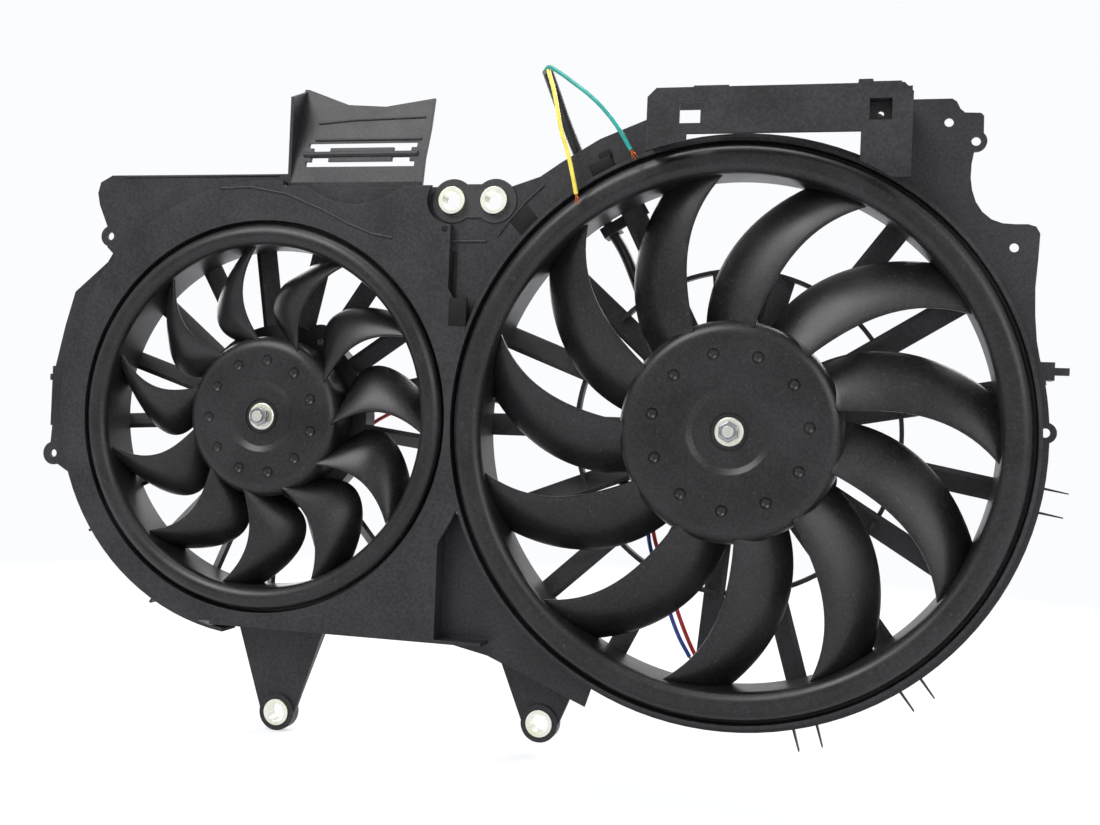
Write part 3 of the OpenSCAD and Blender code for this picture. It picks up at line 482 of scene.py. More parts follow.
def cut(piece: Object, tool: Object) -> Object:
    """Cuts a tool's shape out of a piece, and removes the tool.

    Args:
        piece: The object to cut.
        tool: The closed shape that is taken away.

    Returns:
        The cut piece.
    """
    apply(piece, "BOOLEAN", object=tool, operation="DIFFERENCE", solver="EXACT")
    bpy.data.objects.remove(tool)
    return piece


def tube(name: str, path: Sequence[Vector], radius: float, around: int = 3, along: int = 3) -> Object:
    """Sweeps a round section along a smooth line through points.

    Args:
        name: The piece's name.
        path: The points in metres.
        radius: Radius of the section in millimetres.
        around: Fineness of the section.
        along: Fineness between two points.

    Returns:
        The tube, a curve with closed ends.
    """
    curve = bpy.data.curves.new(name, "CURVE")
    curve.dimensions = "3D"
    curve.resolution_u = along
    curve.bevel_depth = radius * MM
    curve.bevel_resolution = around
    curve.use_fill_caps = True
    spline = curve.splines.new("BEZIER")
    spline.bezier_points.add(len(path) - 1)
    for knot, place in zip(spline.bezier_points, path):
        knot.co = place
        knot.handle_left_type = knot.handle_right_type = "AUTO"
    piece = bpy.data.objects.new(name, curve)
    bpy.context.scene.collection.objects.link(piece)
    return piece


def torus(place: Vector, lean: Sequence[float], radius: float, thick: float, steps: int) -> Object:
    """Adds a round ring.

    Args:
        place: Its centre in metres.
        lean: Its rotation.
        radius: Radius of its centre line in millimetres.
        thick: Radius of its section in millimetres.
        steps: Corners around its section.

    Returns:
        The ring.
    """
    clear_selection()
    bpy.ops.mesh.primitive_torus_add(location=place, rotation=lean, major_radius=radius * MM,
                                     minor_radius=thick * MM, major_segments=40, minor_segments=steps)
    return smooth(settle(bpy.context.object), 60)


def arc(centre: tuple[float, float], radius: float, angles: Sequence[float]) -> list[tuple[float, float]]:
    """Gives a profile's points on an arc, at angles in degrees from outward towards the rear."""
    turns = [math.radians(a) for a in angles]
    return [(centre[0] + radius * math.cos(t), centre[1] + radius * math.sin(t)) for t in turns]


def report(piece: Object) -> None:
    """Writes a finished mesh's name and size to the log."""
    LOG.info("%s: %d faces", piece.name, len(piece.data.polygons))


@dataclass(frozen=True)
class Axis:
    """A line along Y, at a place across and up."""

    x: float
    z: float

    def at(self, radius: float, angle: float, depth: float) -> Vector:
        """Gives the point at a radius and angle around the axis.

        Args:
            radius: Distance from the axis.
            angle: Degrees from +X towards +Z.
            depth: Distance behind the front of the fan lips.

        Returns:
            The point in the model's frame.
        """
        turn = math.radians(angle)
        across, up = radius * math.cos(turn), radius * math.sin(turn)
        return Vector((self.x + across, LIP_PLANE + depth, self.z + up))

    def turn(self, angle: float) -> Matrix:
        """Gives the matrix that turns around the axis.

        Args:
            angle: Degrees from +X towards +Z.

        Returns:
            The matrix.
        """
        there = Matrix.Translation((self.x, 0, self.z))
        return there @ Matrix.Rotation(-math.radians(angle), 4, "Y") @ there.inverted()


def revolve(name: str, axis: Axis, profile: Sequence[tuple[float, float]], steps: int) -> Object:
    """Draws out a ring of edges along a closed profile of radius and depth, in millimetres.

    Args:
        name: The piece's name.
        axis: The axis of the turning.
        profile: Radius and depth of each ring of corners.
        steps: Corners around.

    Returns:
        The turned piece.
    """
    clear_selection()
    rings = [(r * MM, y * MM) for r, y in profile]
    rings.append(rings[0])
    start = (axis.x, LIP_PLANE + rings[0][1], axis.z)
    bpy.ops.mesh.primitive_circle_add(vertices=steps, radius=rings[0][0], location=start,
                                      rotation=(math.pi / 2, 0, 0))
    piece = settle(bpy.context.object)
    bpy.ops.object.mode_set(mode="EDIT")
    bpy.ops.mesh.select_all(action="SELECT")
    for (r0, y0), (r1, y1) in zip(rings, rings[1:]):
        bpy.ops.mesh.extrude_edges_move(TRANSFORM_OT_translate={"value": (0, y1 - y0, 0)})
        if r1 != r0:
            bpy.ops.transform.resize(value=(r1 / r0, 1, r1 / r0),
                                     center_override=(axis.x, LIP_PLANE + y1, axis.z))
    bpy.ops.object.mode_set(mode="OBJECT")
    piece.name = name
    return outward(piece)


def box(size: Sequence[float], centre: Sequence[float], round_mm: float) -> Object:
    """Adds a block with rounded edges, to be shaped or joined further.

    Args:
        size: Its three sizes in millimetres.
        centre: Its centre in the model's frame, in metres.
        round_mm: Radius of its edges in millimetres.

    Returns:
        The block.
    """
    clear_selection()
    bpy.ops.mesh.primitive_cube_add(size=1, location=centre, scale=[s * MM for s in size])
    piece = settle(bpy.context.object)
    return apply(piece, "BEVEL", width=round_mm * MM, segments=2)


# Fans


@dataclass
class FanMoulding:
    """One fan: lip and band, hub with its recess and pits, and curved blades. Sizes are in millimetres.

    lead and trail hold the factors of 1, s, s squared and s cubed, which give the angle of a blade's edge
    in degrees at the share s of its span. washer_groove holds radii and depths below the recess's floor,
    and recess_slope holds distances from the recess's radius and depths below the face. edge_share is the
    share of a blade's thickness that its edges keep, and edge_angles are the half turns of the sine that
    thickens it between them.
    """

    side: str
    axis: Axis
    lip_r: float
    lip_w: float
    hub_r: float
    recess_r: float
    pit_circle_r: float
    first: float
    lead: tuple[float, float, float, float]
    trail: tuple[float, float, float, float]
    blades: int = 11
    band_depth: float = 38
    band_wall: float = 2.6
    band_chamfer: float = 0.6
    lip_depth: float = 10
    lip_land: float = 2
    hub_face: float = 8
    hub_wall: float = 3
    hub_round: float = 10
    hub_foot: float = 0.5
    bore_r: float = 4.05
    boss_r: float = 11
    boss_depth: float = 13
    recess_depth: float = 3
    recess_slope: Profile = ((-2.4, 3), (-1.2, 2.7), (1.8, 0.4), (2.6, 0.1), (3.4, 0))
    washer_groove: Profile = ((11.8, 0), (12, 0.8), (12.9, 0.8), (13.2, 0))
    pit_r: float = 4.8
    pit_rise: float = 2.25
    blade_t: float = 2.6
    blade_front: float = 10
    blade_rear: float = 34
    blade_hollow: float = 16
    blade_root: float = 4
    blade_edge_r: float = 0.5
    edge_share: float = 0.35
    edge_angles: tuple[float, float] = (0.12, 0.88)

    def band_r(self) -> float:
        """Gives the outer radius of the band."""
        return self.lip_r - self.lip_w + self.band_wall

    def pitch(self, count: float) -> float:
        """Gives the angle of a blade, or of a place between two, counted from the first."""
        return self.first + count * 360 / self.blades

    def ring(self) -> Object:
        """Builds the band with its rolled lip.

        Returns:
            The ring.
        """
        inner = self.band_r() - self.band_wall
        nose = self.lip_depth - self.lip_land
        back = nose - self.band_wall
        foot = self.band_depth - self.band_chamfer
        near, far = (inner + nose, nose), (self.lip_r - nose, nose)
        profile = [(inner, foot), (inner, nose)]
        profile += arc(near, nose, [187.5 + 7.5 * i for i in range(12)])
        profile += arc(far, nose, [270 + 7.5 * i for i in range(13)])
        profile += [(self.lip_r, self.lip_depth), (self.lip_r - self.band_wall, self.lip_depth)]
        profile += arc(far, back, [360 - 15 * i for i in range(7)])
        profile += arc(near, back, [270 - 15 * i for i in range(7)])
        profile += [(self.band_r(), foot), (self.band_r() - self.band_chamfer, self.band_depth),
                    (inner + self.band_chamfer, self.band_depth)]
        return smooth(revolve("ring", self.axis, profile, 192))

    def hub(self) -> Object:
        """Builds the hub cup, with its recess, the groove around the washer and the pits in its face.

        Returns:
            The hub.
        """
        r, rec, wall, bend = self.hub_r, self.recess_r, self.hub_wall, self.hub_round
        face, rear = self.hub_face, self.band_depth
        floor = face + self.recess_depth
        flat_in, flat_out = rec + 4, r - bend - 1
        profile = [(self.bore_r, floor)]
        profile += [(groove_r, floor + deep) for groove_r, deep in self.washer_groove]
        profile += [(rec + out, face + deep) for out, deep in self.recess_slope]
        profile += [(flat_in + (flat_out - flat_in) * i / 6, face) for i in range(7)]
        profile += arc((r - bend, face + bend), bend, range(270, 361, 9))
        profile += [(r, rear - self.hub_foot), (r - self.hub_foot, rear), (r - wall, rear)]
        profile += [(r - wall, face + bend), (r - wall - 5, face + wall + 2), (rec + 6, face + wall)]
        profile += [(rec + 3, floor + wall), (self.boss_r, floor + wall)]
        profile += [(self.boss_r, face + self.boss_depth), (self.bore_r, face + self.boss_depth)]
        hub = revolve("hub", self.axis, profile, 144)
        pits = []
        for i in range(self.blades):
            clear_selection()
            at = self.axis.at(self.pit_circle_r * MM, self.pitch(i + 0.5), (face - self.pit_rise) * MM)
            bpy.ops.mesh.primitive_uv_sphere_add(segments=28, ring_count=14, radius=self.pit_r * MM,
                                                 location=at)
            pits.append(settle(bpy.context.object))
        return smooth(cut(hub, join("pits", pits)), 28)

    def blade(self) -> Object:
        """Builds one blade: a sheet bent to the fan's sweep, then thickened and rounded.

        Returns:
            The blade at angle 0.
        """
        clear_selection()
        bpy.ops.mesh.primitive_grid_add(x_subdivisions=22, y_subdivisions=14, size=1)
        blade = bpy.context.object
        root, tip = self.hub_r - self.blade_root, self.band_r() - self.band_wall / 2
        first, last = self.edge_angles
        thick = blade.vertex_groups.new(name="thick")
        for corner in blade.data.vertices:
            s, c = corner.co.x + 0.5, corner.co.y + 0.5
            lead = sum(k * s ** power for power, k in enumerate(self.lead))
            trail = sum(k * s ** power for power, k in enumerate(self.trail))
            depth = self.blade_rear * (1 - c) + self.blade_front * c - self.blade_hollow * c * (1 - c)
            corner.co = self.axis.at((root + (tip - root) * s) * MM, lead * (1 - c) + trail * c, depth * MM)
            bulge = math.sin(math.pi * (first + (last - first) * c))
            thick.add([corner.index], self.edge_share + (1 - self.edge_share) * bulge, "REPLACE")
        apply(blade, "SOLIDIFY", thickness=self.blade_t * MM, offset=0, vertex_group="thick",
              thickness_vertex_group=0.3)
        outward(blade)
        apply(blade, "BEVEL", width=self.blade_edge_r * MM, segments=2, limit_method="ANGLE",
              angle_limit=math.radians(50))
        return smooth(blade, 40)

    def build(self, palette: Palette) -> None:
        """Builds the fan and puts it in place of its CAD node.

        Args:
            palette: The materials.
        """
        turns = [self.axis.turn(self.pitch(i)) for i in range(self.blades)]
        fan = join(f"{self.side}_fan_moulding", [self.ring(), self.hub(), *copies(self.blade(), turns)])
        palette.paint(fan, Look.FAN)
        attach(fan, f"{self.side}_rotor")
        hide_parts(f"{self.side}_fan")
        report(fan)


@dataclass
class HubNut:
    """The hexagon nut on the shaft's end, with its broad washer, in the hub's recess.

    Sizes are in millimetres.
    """

    side: str
    axis: Axis
    seat: float = 11
    washer_r: float = 10
    washer_t: float = 1.5
    washer_edge: float = 0.5
    washer_bore_r: float = 4.2
    nut_r: float = 7.5
    nut_t: float = 5
    nut_edge: float = 0.7
    nut_bore_r: float = 4.1

    def washer(self) -> Object:
        """Builds the washer, which lies on the floor of the recess.

        Returns:
            The washer.
        """
        low, top, bore = self.seat, self.seat - self.washer_t, self.washer_bore_r
        rim, edge = self.washer_r, self.washer_edge
        profile = [(bore, top), (rim - edge, top), (rim, top + edge), (rim, low), (bore, low)]
        return smooth(revolve(f"{self.side}_washer", self.axis, profile, 64))

    def nut(self) -> Object:
        """Builds the nut on the washer, with its bore.

        Returns:
            The nut.
        """
        top = self.seat - self.washer_t
        end = top - self.nut_t
        clear_selection()
        bpy.ops.mesh.primitive_cylinder_add(vertices=6, radius=self.nut_r * MM, depth=self.nut_t * MM,
                                            location=self.axis.at(0, 0, (top - self.nut_t / 2) * MM),
                                            rotation=(math.pi / 2, 0, 0))
        nut = apply(settle(bpy.context.object), "BEVEL", width=self.nut_edge * MM, segments=3)
        tool = [(HAIR, end - 1), (self.nut_bore_r, end - 1), (self.nut_bore_r, top + 1), (HAIR, top + 1)]
        cut(nut, revolve("bore", self.axis, tool, 48))
        nut.name = nut.data.name = f"{self.side}_hexagon_nut"
        return smooth(nut)

    def build(self, palette: Palette) -> None:
        """Builds the washer and the nut, the nut in place of its CAD node.

        Args:
            palette: The materials.
        """
        washer, nut = self.washer(), self.nut()
        palette.paint(washer, Look.CHROMATE)
        palette.paint(nut, Look.HEXAGON)
        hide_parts(f"{self.side}_fan_nut")
        for piece in (washer, nut):
            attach(piece, f"{self.side}_rotor")
            report(piece)


# Motors


@dataclass
class MotorShell:
    """The drawn can of a motor, with its stepped end and pressed marks. Sizes are in millimetres.

    steps holds the corners of the can's end, from the shoulder to the middle: the radius of each, and its
    rise above the flat of the end.
    """

    side: str
    axis: Axis
    rear: float
    mark_angle: float
    block_angle: float
    front: float = 22
    radius: float = 50.5
    wall: float = 2.5
    shoulder: float = 6
    steps: Profile = ((42.5, 0), (41.6, -1.1), (40, -1.4), (24.5, -1.4), (23.4, -0.6), (22.4, 0.6),
                      (21.4, 1.6), (20, 1.9), (18.4, 1.5), (17.4, -1), (16.4, -1.8), (14.9, -1.8),
                      (13.9, -0.8), (13, 2.4), (12, 3.4), (10.6, 3.8), (8.4, 3.8), (7.8, 3.2),
                      (4.6, 3.2), (4, 4), (2.2, 4), (1.7, 3.4), (1.7, 2), (HAIR, 2))
    boss_rise: float = 4
    boss_hollow_r: float = 9
    mark_circle_r: float = 31
    mark_size: Point = (11.5, 3.8, 2.4)
    mark_sunk: float = 0.9
    mark_edge: float = 1.1
    mark_lean: float = 10
    block_size: Point = (13.1, 8.05, 26.1)
    block_inset: float = 6.45
    block_sunk: float = 3
    block_edge: float = 0.3

    def can(self) -> Object:
        """Builds the can with its rounded shoulder and stepped boss.

        Returns:
            The can.
        """
        r, y, w, bend = self.radius, self.rear, self.wall, self.shoulder
        profile = [(r - w, self.front), (r, self.front)]
        profile += arc((r - bend, y - bend), bend, range(0, 91, 10))
        profile += [(step_r, y + rise) for step_r, rise in self.steps]
        profile += [(HAIR, y + self.boss_rise - w), (self.boss_hollow_r, y + self.boss_rise - w),
                    (self.boss_hollow_r, y - w), (r - w - 5, y - w), (r - w, y - w - bend)]
        return smooth(revolve("can", self.axis, profile, 144), 25)

    def marks(self) -> list[Object]:
        """Builds the eight pressed marks of the can's end, in four pairs.

        Returns:
            The marks.
        """
        at = self.axis.at(self.mark_circle_r * MM, 0, (self.rear - self.mark_sunk) * MM)
        rib = smooth(box(self.mark_size, at, self.mark_edge), 40)
        leans = (-self.mark_lean, self.mark_lean)
        turns = [self.axis.turn(self.mark_angle + pair * 90 + lean) for pair in range(4) for lean in leans]
        return copies(rib, turns)

    def build(self, palette: Palette) -> None:
        """Builds the can, with room for its terminal block, and puts it in place of its CAD node.

        Args:
            palette: The materials.
        """
        shell = self.can()
        at = self.axis.at((self.radius - self.block_inset) * MM, 0, (self.rear - self.block_sunk) * MM)
        room = box(self.block_size, at, self.block_edge)
        room.data.transform(self.axis.turn(self.block_angle))
        can = join(f"{self.side}_can_drawn", [smooth(cut(shell, room), 25), *self.marks()])
        palette.paint(can, Look.ZINC)
        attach(can, "shroud")
        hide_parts(f"{self.side}_can")
        report(can)


# Trim of the shroud


@dataclass
class Trim:
    """Small forms on the shroud: creases, edge beads, thin pads of painted shade in slots, pockets and holes,
    a clip, a cable tie and bare wire ends.

    Places and sizes are in millimetres, places across and up from the large fan's axis.
    """

    axis: Axis
    panel: Object
    ring_places: tuple[tuple[float, float], ...] = ((-398.4, 151.6), (-203, -140))
    ring_r: float = 6.5
    ring_bead_r: float = 0.6
    tie_at: Point = (-97, 61, 144)
    tie_along: Point = (-10, 0, 16)
    tie_bead_r: float = 0.9
    tie_gap: float = 0.5
    tie_head_gap: float = 1.6
    tie_head: Point = (4.6, 4.2, 5.2)
    lead_r: float = 4
    strands: int = 5
    strand_r: float = 0.32
    strand_length: float = 5.5
    strand_splay: float = 0.9

    def on_face(self, x: float, z: float, side: int = -1) -> Vector:
        """Finds the panel's surface by a ray along the depth.

        Args:
            x: Place across in millimetres.
            z: Place up in millimetres.
            side: -1 from the fans' side, 1 from the motors' side.

        Returns:
            The point on the surface, in metres.
        """
        start = Vector((self.axis.x + x * MM, side * 0.2, self.axis.z + z * MM))
        local = self.panel.matrix_world.inverted()
        found, place, _, _ = self.panel.ray_cast(local @ start, local.to_3x3() @ Vector((0, -side, 0)))
        if not found:
            LOG.warning("no surface at %.1f, %.1f", x, z)
            return Vector((start.x, LIP_PLANE, start.z))
        return self.panel.matrix_world @ place

    def bead(self, name: str, route: Sequence[tuple[float, float]], radius: float) -> Object:
        """Lays a round bead on the front face along a route, half sunk into it.

        Args:
            name: The piece's name.
            route: Places across and up.
            radius: Radius of the bead in millimetres.

        Returns:
            The bead.
        """
        path = []
        for (x0, z0), (x1, z1) in zip(route, route[1:]):
            steps = max(2, round(math.hypot(x1 - x0, z1 - z0) / 5))
            for i in range(steps):
                path.append(self.on_face(x0 + (x1 - x0) * i / steps, z0 + (z1 - z0) * i / steps))
        path.append(self.on_face(*route[-1]))
        return self.strand(name, path, radius)

    def strand(self, name: str, path: Sequence[Vector], radius: float) -> Object:
        """Sweeps a round section along points, as a mesh.

        Args:
            name: The piece's name.
            path: The points in metres.
            radius: Radius in millimetres.

        Returns:
            The strand.
        """
        pick(tube(name, path, radius))
        bpy.ops.object.convert(target="MESH")
        return smooth(bpy.context.object, 50)

    def pad(self, size: Point, x: float, z: float, turn: float = 0, side: int = -1, rise: float = 0.5,
            round_mm: float = 0.4) -> Object:
        """Puts a rounded block on the surface, turned around the depth.

        Args:
            size: Sizes across, in depth and up, in millimetres.
            x: Place across.
            z: Place up.
            turn: Degrees from +X towards +Z.
            side: The side of the panel, as in on_face.
            rise: Height above the surface in millimetres.
            round_mm: Radius of its edges.

        Returns:
            The block.
        """
        at = self.on_face(x, z, side) + Vector((0, side * (rise - size[1] / 2) * MM, 0))
        block = box(size, at, round_mm)
        block.data.transform(Axis(at.x, at.z).turn(turn))
        return smooth(block, 40)

    def tie(self) -> Object:
        """Builds the cable tie around the large motor's lead, with its head.

        Returns:
            The tie.
        """
        x, y, z = self.tie_at
        place = Vector((self.axis.x + x * MM, LIP_PLANE + y * MM, self.axis.z + z * MM))
        lean = Vector(self.tie_along).to_track_quat("Z", "Y").to_euler()
        band = torus(place, lean, self.lead_r + self.tie_gap, self.tie_bead_r, 10)
        behind = Vector((0, (self.lead_r + self.tie_head_gap) * MM, 0))
        head = smooth(box(self.tie_head, place + behind, 0.7), 40)
        return join("cable_tie", [band, head])

    def place(self, piece: Object, look: Look, palette: Palette, slot: str) -> None:
        """Paints a piece and lets it stand on the shroud.

        Args:
            piece: The object.
            look: Its finish.
            palette: The materials.
            slot: Its material slot; not used.
        """
        palette.paint(piece, look)
        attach(piece, "shroud")
        report(piece)

    def creases(self) -> list[Object]:
        """Lays the beads of the panel's front face.

        Returns:
            The beads.
        """
        fold = [(-400, 166), (-361, 167.5), (-331, 162), (-303, 150.6), (-281.5, 140.2), (-262.7, 133),
                (-247, 130)]
        rise = [(-170, 132.3), (-162.8, 142.3), (-149.3, 157.5), (-137, 169)]
        return [
            self.bead("crease", fold, 0.9),
            self.bead("top_lip", [(-470, 177.2), (-342, 177.4)], 1.0),
            self.bead("pocket_foot", [(-206, 128.7), (-178, 128.8)], 1.1),
            self.bead("diagonal", rise, 1.1),
        ]

    def fold_lines(self) -> list[Object]:
        """Lays the two ridges across the air deflector, where this trim's panel is the deflector."""
        return [
            self.bead("fold", [(-318, 219), (-290, 221.5), (-234, 223)], 1.0),
            self.bead("window_ridge", [(-318, 205.5), (-234, 205.5)], 1.2),
        ]

    def painted_shade_and_clip(self) -> list[Object]:
        """Puts thin matt black pads that paint the shade in the panel's slot, pockets and holes, and the clip
        of the rim.

        Returns:
            The pads.
        """
        # Painted shade: the slot, pocket, slanted pocket, pin hole and rear hole are thin dark pads in place
        # of the shade inside them; the rim clip and hook are real forms
        slot = self.pad((5.6, 3, 36), -201.5, 104, round_mm=1.2)
        pocket = self.pad((13.3, 3, 20), -195.2, 77.5)
        slanted_pocket_shade = self.pad((15.4, 3, 17), -149.7, 143, -47)
        pin_hole_shade = self.pad((5.2, 3, 5.2), -207.4, 136.8, round_mm=2.2)
        rim_clip = self.pad((17, 6, 9), -95.5, 181.7, 27, rise=3, round_mm=0.8)
        rim_hook = self.pad((9, 6, 6), -93.5, 189.5, 27, rise=2, round_mm=0.8)
        rear_hole_shade = self.pad((5.4, 3, 5.4), -68.1, 187, side=1, rise=0.2, round_mm=2.3)
        return [slot, pocket, slanted_pocket_shade, pin_hole_shade, rim_clip, rim_hook, rear_hole_shade]

    def wire_end(self, last: Point, before: Point) -> list[Object]:
        """Builds the bare strands at the end of a wire, which splay a little, each a different way.

        A real wire has many finer strands, too fine to show, so a few thick ones stand for them.

        Args:
            last: The wire's last route point.
            before: The route point before it.

        Returns:
            The strands.
        """
        tip = Vector(last)
        ahead = (tip - Vector(before)).normalized()
        origin = Vector((self.axis.x, LIP_PLANE, self.axis.z))
        made = []
        for i in range(self.strands):
            splay = Vector((math.cos(i * 2.5), 0.4 * math.sin(i * 1.7), math.sin(i * 2.5)))
            splay *= self.strand_splay
            path = [tip - ahead + splay * 0.6, tip + ahead * 2.5 + splay]
            path.append(tip + ahead * self.strand_length + splay * 2.2)
            made.append(self.strand("strand", [origin + place * MM for place in path], self.strand_r))
        return made

    def build(self, palette: Palette, ends: Sequence[tuple[Point, Point]]) -> None:
        """Builds the trim.

        Args:
            palette: The materials.
            ends: For each bare wire end, its last route point and the point before it.
        """
        upright = (math.pi / 2, 0, 0)
        rings = [torus(self.on_face(x, z, 1), upright, self.ring_r, self.ring_bead_r, 8)
                 for x, z in self.ring_places]
        self.place(join("shroud_creases", self.creases() + rings), Look.SHROUD, palette, "black_plastic")
        # Painted shade of slots, pockets and holes, joined with the real rim clip and hook
        self.place(join("shroud_painted_shade_and_clip", self.painted_shade_and_clip()), Look.RUBBER_AND_SHADE, palette, "black_plastic")
        self.place(self.tie(), Look.RUBBER_AND_SHADE, palette, "black_plastic")
        strands = [strand for last, before in ends for strand in self.wire_end(last, before)]
        self.place(join("bare_wire_ends", strands), Look.COPPER, palette, "copper")

    def build_rail_bore(self, palette: Palette) -> None:
        """Builds the painted shade in the rail's bore, a thin dark disc, where this trim's panel is the rail.
        """
        # Painted shade: a dark disc on the rear face stands for the shade inside the rail's bore
        bore = self.pad((5.4, 3, 5.4), 88.4, 213, side=1, rise=0.2, round_mm=2.3)
        self.place(join("rail_bore_shade", [bore]), Look.RUBBER_AND_SHADE, palette, "black_plastic")

    def build_folds(self, palette: Palette) -> None:
        """Builds the deflector's ridges as one piece."""
        self.place(join("deflector_folds", self.fold_lines()), Look.SHROUD, palette, "black_plastic")


# Leads and wires


@dataclass
class Lead:
    """One lead or wire: a smooth line through its route points, in millimetres from the large fan's axis."""

    node: str
    look: Look
    slot: str
    diameter: float
    route: list[Point]
    far_end: str
    stiffness: str = "medium"
    lay: str = "loose"

    def build(self, palette: Palette, axis: Axis) -> None:
        """Args:
            palette: The materials.
            axis: The large fan's axis, from which the route is measured.
        """
        path = [Vector((axis.x + x * MM, LIP_PLANE + y * MM, axis.z + z * MM)) for x, y, z in self.route]
        piece = tube(f"{self.node}_cord", path, self.diameter / 2, around=5, along=8)
        bpy.context.view_layer.update()
        palette.paint(piece, self.look)
        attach(piece, "shroud")
        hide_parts(self.node)


FEEDS: dict[str, list[Point]] = {
    "yellow": [(-43.3, 63, 26.7), (-48.7, 63, 29.3), (-53.5, 63, 34), (-58, 63, 43), (-62, 63, 55),
               (-65, 62, 69), (-67, 60, 83)],
    "teal": [(-47.7, 63, 17.7), (-53.1, 63, 20.3), (-58.8, 63, 24.5), (-64, 63, 33), (-68, 63, 46),
             (-70, 62, 62), (-70, 60, 83)],
    "red": [(-296.4, 71, -6.2), (-290.4, 71, -5.8), (-283, 69, -5), (-275, 66, -1), (-266, 62, 3)],
    "blue": [(-297.4, 71, 7.8), (-291.4, 71, 8.2), (-284, 69, 8.5), (-275, 66, 7.5), (-266, 62, 6)],
}
TAILS: dict[str, list[Point]] = {
    "yellow": [(-138, 14, 252), (-136, 8, 248), (-131, 2, 236), (-127, -2, 223), (-122, -6, 204),
               (-117, -7, 190), (-112, -8, 172), (-109, -8, 159)],
    "teal": [(-140, 14, 252), (-136, 9, 252), (-128, 4, 247), (-116, -1, 238), (-102, -5, 227),
             (-90, -7, 215), (-80, -8, 202), (-72, -8, 189)],
    "red": [(-59, 60, -65), (-56, 60, -80), (-51, 60, -94), (-43, 60, -116), (-30, 59, -148),
            (-20, 58, -167)],
    "blue": [(-62, 60, -66), (-60, 60, -82), (-56, 60, -96), (-48, 60, -118), (-36, 59, -148),
             (-27, 58, -163)],
}


@dataclass
class Harness:
    """All leads and wires of both motors: a feed from each terminal to the sleeve, and a tail out of it."""

    sleeve_d: float = 8
    wire_d: float = 3

    def leads(self) -> list[Lead]:
        """Lists the leads with the routes of their CAD solids.

        Returns:
            The leads.
        """
        made = [
            Lead("large_lead", Look.SLEEVE, "lead_sleeve", self.sleeve_d, [
                (-68, 60, 84), (-77, 61, 106), (-87, 61, 128), (-97, 61, 144), (-106, 61, 160),
                (-114, 58, 179), (-123, 52, 200), (-131, 42, 221), (-136, 30, 238), (-139, 15, 251)],
                "bare", lay="taut"),
            Lead("small_lead", Look.SLEEVE, "lead_sleeve", self.sleeve_d, [
                (-265, 62, 5), (-247, 62, 15), (-229, 60, 20), (-213, 58, 20), (-198, 58, 19.6),
                (-183, 58, 19), (-166, 58, 14), (-142, 58, 5), (-119, 58, -7), (-98, 58, -21),
                (-82, 59, -38), (-67, 60, -55), (-60, 60, -65)], "bare", lay="taut"),
        ]
        for colour in FEEDS:
            look, slot = Look[colour.upper()], f"{colour}_insulation"
            made.append(Lead(f"{colour}_feed", look, slot, self.wire_d, FEEDS[colour], "object"))
            made.append(Lead(f"{colour}_tail", look, slot, self.wire_d, TAILS[colour], "bare", lay="hanging"))
        return made

    def build(self, palette: Palette, axis: Axis) -> None:
        """Builds every lead, with its route measured from the large fan's axis."""
        for lead in self.leads():
            lead.build(palette, axis)


# Studio


@dataclass(frozen=True)
class Lamp:
    """A soft square lamp: its place, the point that it faces, its side in metres and its power in watts."""

    name: str
    at: Point
    aim: Point
    size: float
    power: float

    def hang(self) -> None:
        """Hangs the lamp in the scene."""
        data = bpy.data.lights.new(self.name, "AREA")
        data.shape = "SQUARE"
        data.size = self.size
        data.energy = self.power
        lamp = bpy.data.objects.new(self.name, data)
        lamp.location = self.at
        lamp.rotation_euler = (Vector(self.aim) - Vector(self.at)).to_track_quat("-Z", "Y").to_euler()
        bpy.context.scene.collection.objects.link(lamp)


LAMPS = (
    Lamp("key_front", (-0.9, -1.4, 1.9), (-0.1, 0, 0.2), 1.3, 50),
    Lamp("fill_front", (1.5, -1.3, 0.9), (0, 0, 0.2), 1.2, 16),
    Lamp("key_rear", (0.9, 1.5, 1.8), (-0.1, 0, 0.2), 1.3, 50),
    Lamp("fill_rear", (-1.5, 1.4, 0.8), (0, 0, 0.2), 1.2, 16),
    Lamp("top", (-0.1, 0.1, 1.9), (-0.1, 0, 0.2), 1.0, 16),
)


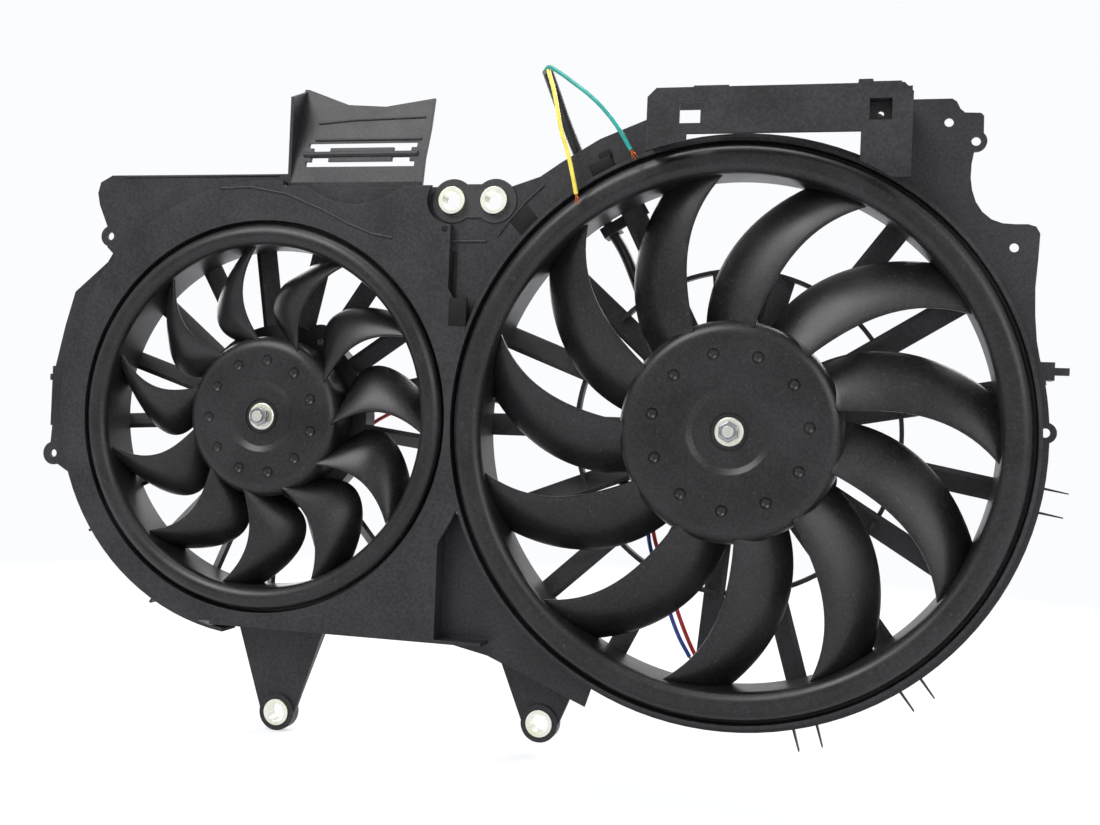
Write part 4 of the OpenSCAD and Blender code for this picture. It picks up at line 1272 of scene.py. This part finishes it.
@dataclass
class Studio:
    """Camera, floor, world and lamps. Lengths are in metres."""

    camera_at: Point = (0.2271, -0.9016, 0.2184)
    camera_turn: Point = (90.43, -2.34, 14.17)
    lens_mm: float = 42.0
    sensor_mm: float = 36.0
    floor_z: float = -0.0228
    floor_size: float = 40.0
    tooth_scale: float = 600.0
    tooth_depth: float = 0.0001
    fade_near: float = 0.45
    fade_far: float = 1.3
    fade_least: float = 0.6
    world_light: float = 0.36
    card: str = "#f4f5f7"
    white: str = "#fbfcfe"
    surround: str = "#dfe3ea"

    def camera(self) -> None:
        """Puts the camera where the photograph of the fans' side was taken from."""
        turn = [math.radians(a) for a in self.camera_turn]
        bpy.ops.object.camera_add(location=self.camera_at, rotation=turn)
        camera = bpy.context.object
        camera.data.lens = self.lens_mm
        camera.data.sensor_width = self.sensor_mm
        camera.data.clip_start = 0.01
        bpy.context.scene.camera = camera

    def floor(self) -> None:
        """Lays a wide pale floor under the ears, which fades to plain white further out."""
        clear_selection()
        bpy.ops.mesh.primitive_plane_add(size=self.floor_size, location=(0, 0, self.floor_z))
        floor = bpy.context.object
        floor.name = "floor"
        # White card: matt, with a fine tooth that breaks up its shine
        made = bpy.data.materials.new("white_card")
        tree = empty_tree(made)
        place = add_node(tree, "TexCoord").outputs["Object"]
        tooth = add_node(tree, "TexNoise", {"Vector": place, "Scale": self.tooth_scale}).outputs["Fac"]
        normal = add_node(tree, "Bump", {"Height": tooth, "Distance": self.tooth_depth}).outputs[0]
        matt = {"Base Color": linear(self.card), "Roughness": 0.9, "Normal": normal}
        shader = add_node(tree, "BsdfPrincipled", matt).outputs[0]
        white = add_node(tree, "Emission", {"Color": linear(self.white), "Strength": 1.0}).outputs[0]
        path = add_node(tree, "LightPath").outputs["Is Camera Ray"]
        away = add_node(tree, "VectorMath", {0: place}, operation="LENGTH").outputs["Value"]
        ramp = {"Value": away, "From Min": self.fade_near, "From Max": self.fade_far,
                "To Min": self.fade_least, "To Max": 1.0}
        fade = add_node(tree, "MapRange", ramp).outputs["Result"]
        share = add_node(tree, "Math", {0: path, 1: fade}, operation="MULTIPLY").outputs[0]
        mixed = add_node(tree, "MixShader", {0: share, 1: shader, 2: white}).outputs[0]
        add_node(tree, "OutputMaterial", {"Surface": mixed})
        floor.data.materials.append(made)

    def world(self) -> None:
        """Gives a near-white surround to the camera and to gloss, and a softer one to diffuse light."""
        world = bpy.data.worlds.new("studio")
        bpy.context.scene.world = world
        tree = empty_tree(world)
        path = add_node(tree, "LightPath")
        seen = path.outputs["Is Camera Ray"]
        for ray in ("Is Glossy Ray", "Is Transmission Ray"):
            seen = add_node(tree, "Math", {0: seen, 1: path.outputs[ray]}, operation="MAXIMUM").outputs[0]
        dim = {"Color": linear(self.surround), "Strength": self.world_light}
        plain = add_node(tree, "Background", dim).outputs[0]
        white = add_node(tree, "Background", {"Color": linear(self.white), "Strength": 1.0}).outputs[0]
        mixed = add_node(tree, "MixShader", {0: seen, 1: plain, 2: white}).outputs[0]
        add_node(tree, "OutputWorld", {"Surface": mixed})

    def build(self) -> None:
        """Sets up the whole studio."""
        self.camera()
        self.floor()
        self.world()
        for lamp in LAMPS:
            lamp.hang()
        view = bpy.context.scene.view_settings
        view.view_transform = "Standard"


# Assembly


NODE_LOOKS: dict[Look, tuple[str, ...]] = {
    Look.ZINC: ("end_plate", "lug_plate"),
    Look.STEEL: ("shaft", "screws", "front_bearing", "rear_bearing", "armature"),
    Look.COPPER: ("windings", "commutator"),
    Look.FERRITE: ("magnets", "brushes"),
}
SLEEVES = ("upper_sleeve_inner", "upper_sleeve_outer", "lower_sleeve_large", "lower_sleeve_small")
LARGE_AXIS = Axis(0.1317, 0.2167)
SMALL_AXIS = Axis(-0.2157, 0.2140)


def dress_frame(palette: Palette) -> None:
    """Gives each CAD node that stays in view its finish.

    Args:
        palette: The materials.
    """
    looks = {f"{side}_{part}": look for look, parts in NODE_LOOKS.items() for part in parts
             for side in ("large", "small")}
    looks |= {node: Look.CHROMATE for node in SLEEVES}
    looks["upper_mount_plate"] = Look.PLATE
    for name, node in frame["nodes"].items():
        palette.paint(node, looks.get(name, Look.SHROUD))


def main() -> None:
    """Builds the studio, the leads, the trim, the fans and the motors."""
    logging.basicConfig(level=logging.INFO, format="%(name)s %(message)s")
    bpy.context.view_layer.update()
    large, small, nodes = LARGE_AXIS, SMALL_AXIS, frame["nodes"]
    palette = Palette()
    Studio().build()
    dress_frame(palette)
    harness = Harness()
    harness.build(palette, large)
    ends = [(lead.route[-1], lead.route[-2]) for lead in harness.leads() if lead.lay == "hanging"]
    Trim(large, nodes["shroud_panel"]).build(palette, ends)
    Trim(large, nodes["top_rail"]).build_rail_bore(palette)
    Trim(large, nodes["air_deflector"]).build_folds(palette)
    FanMoulding("large", large, lip_r=195, lip_w=20, hub_r=77, recess_r=27, pit_circle_r=54, first=87,
                lead=(19.5, -20, -15, 3.5), trail=(-8.5, -9.5, 0, -8.5)).build(palette)
    FanMoulding("small", small, lip_r=143, lip_w=16, hub_r=60, recess_r=24, pit_circle_r=42, first=101,
                lead=(8, 104, -181.5, 72), trail=(-7.3, 44, -64, 20.5)).build(palette)
    HubNut("large", large).build(palette)
    HubNut("small", small).build(palette)
    MotorShell("large", large, rear=66, mark_angle=15, block_angle=154).build(palette)
    MotorShell("small", small, rear=74, mark_angle=45, block_angle=4).build(palette)


if __name__ == "__main__":
    main()
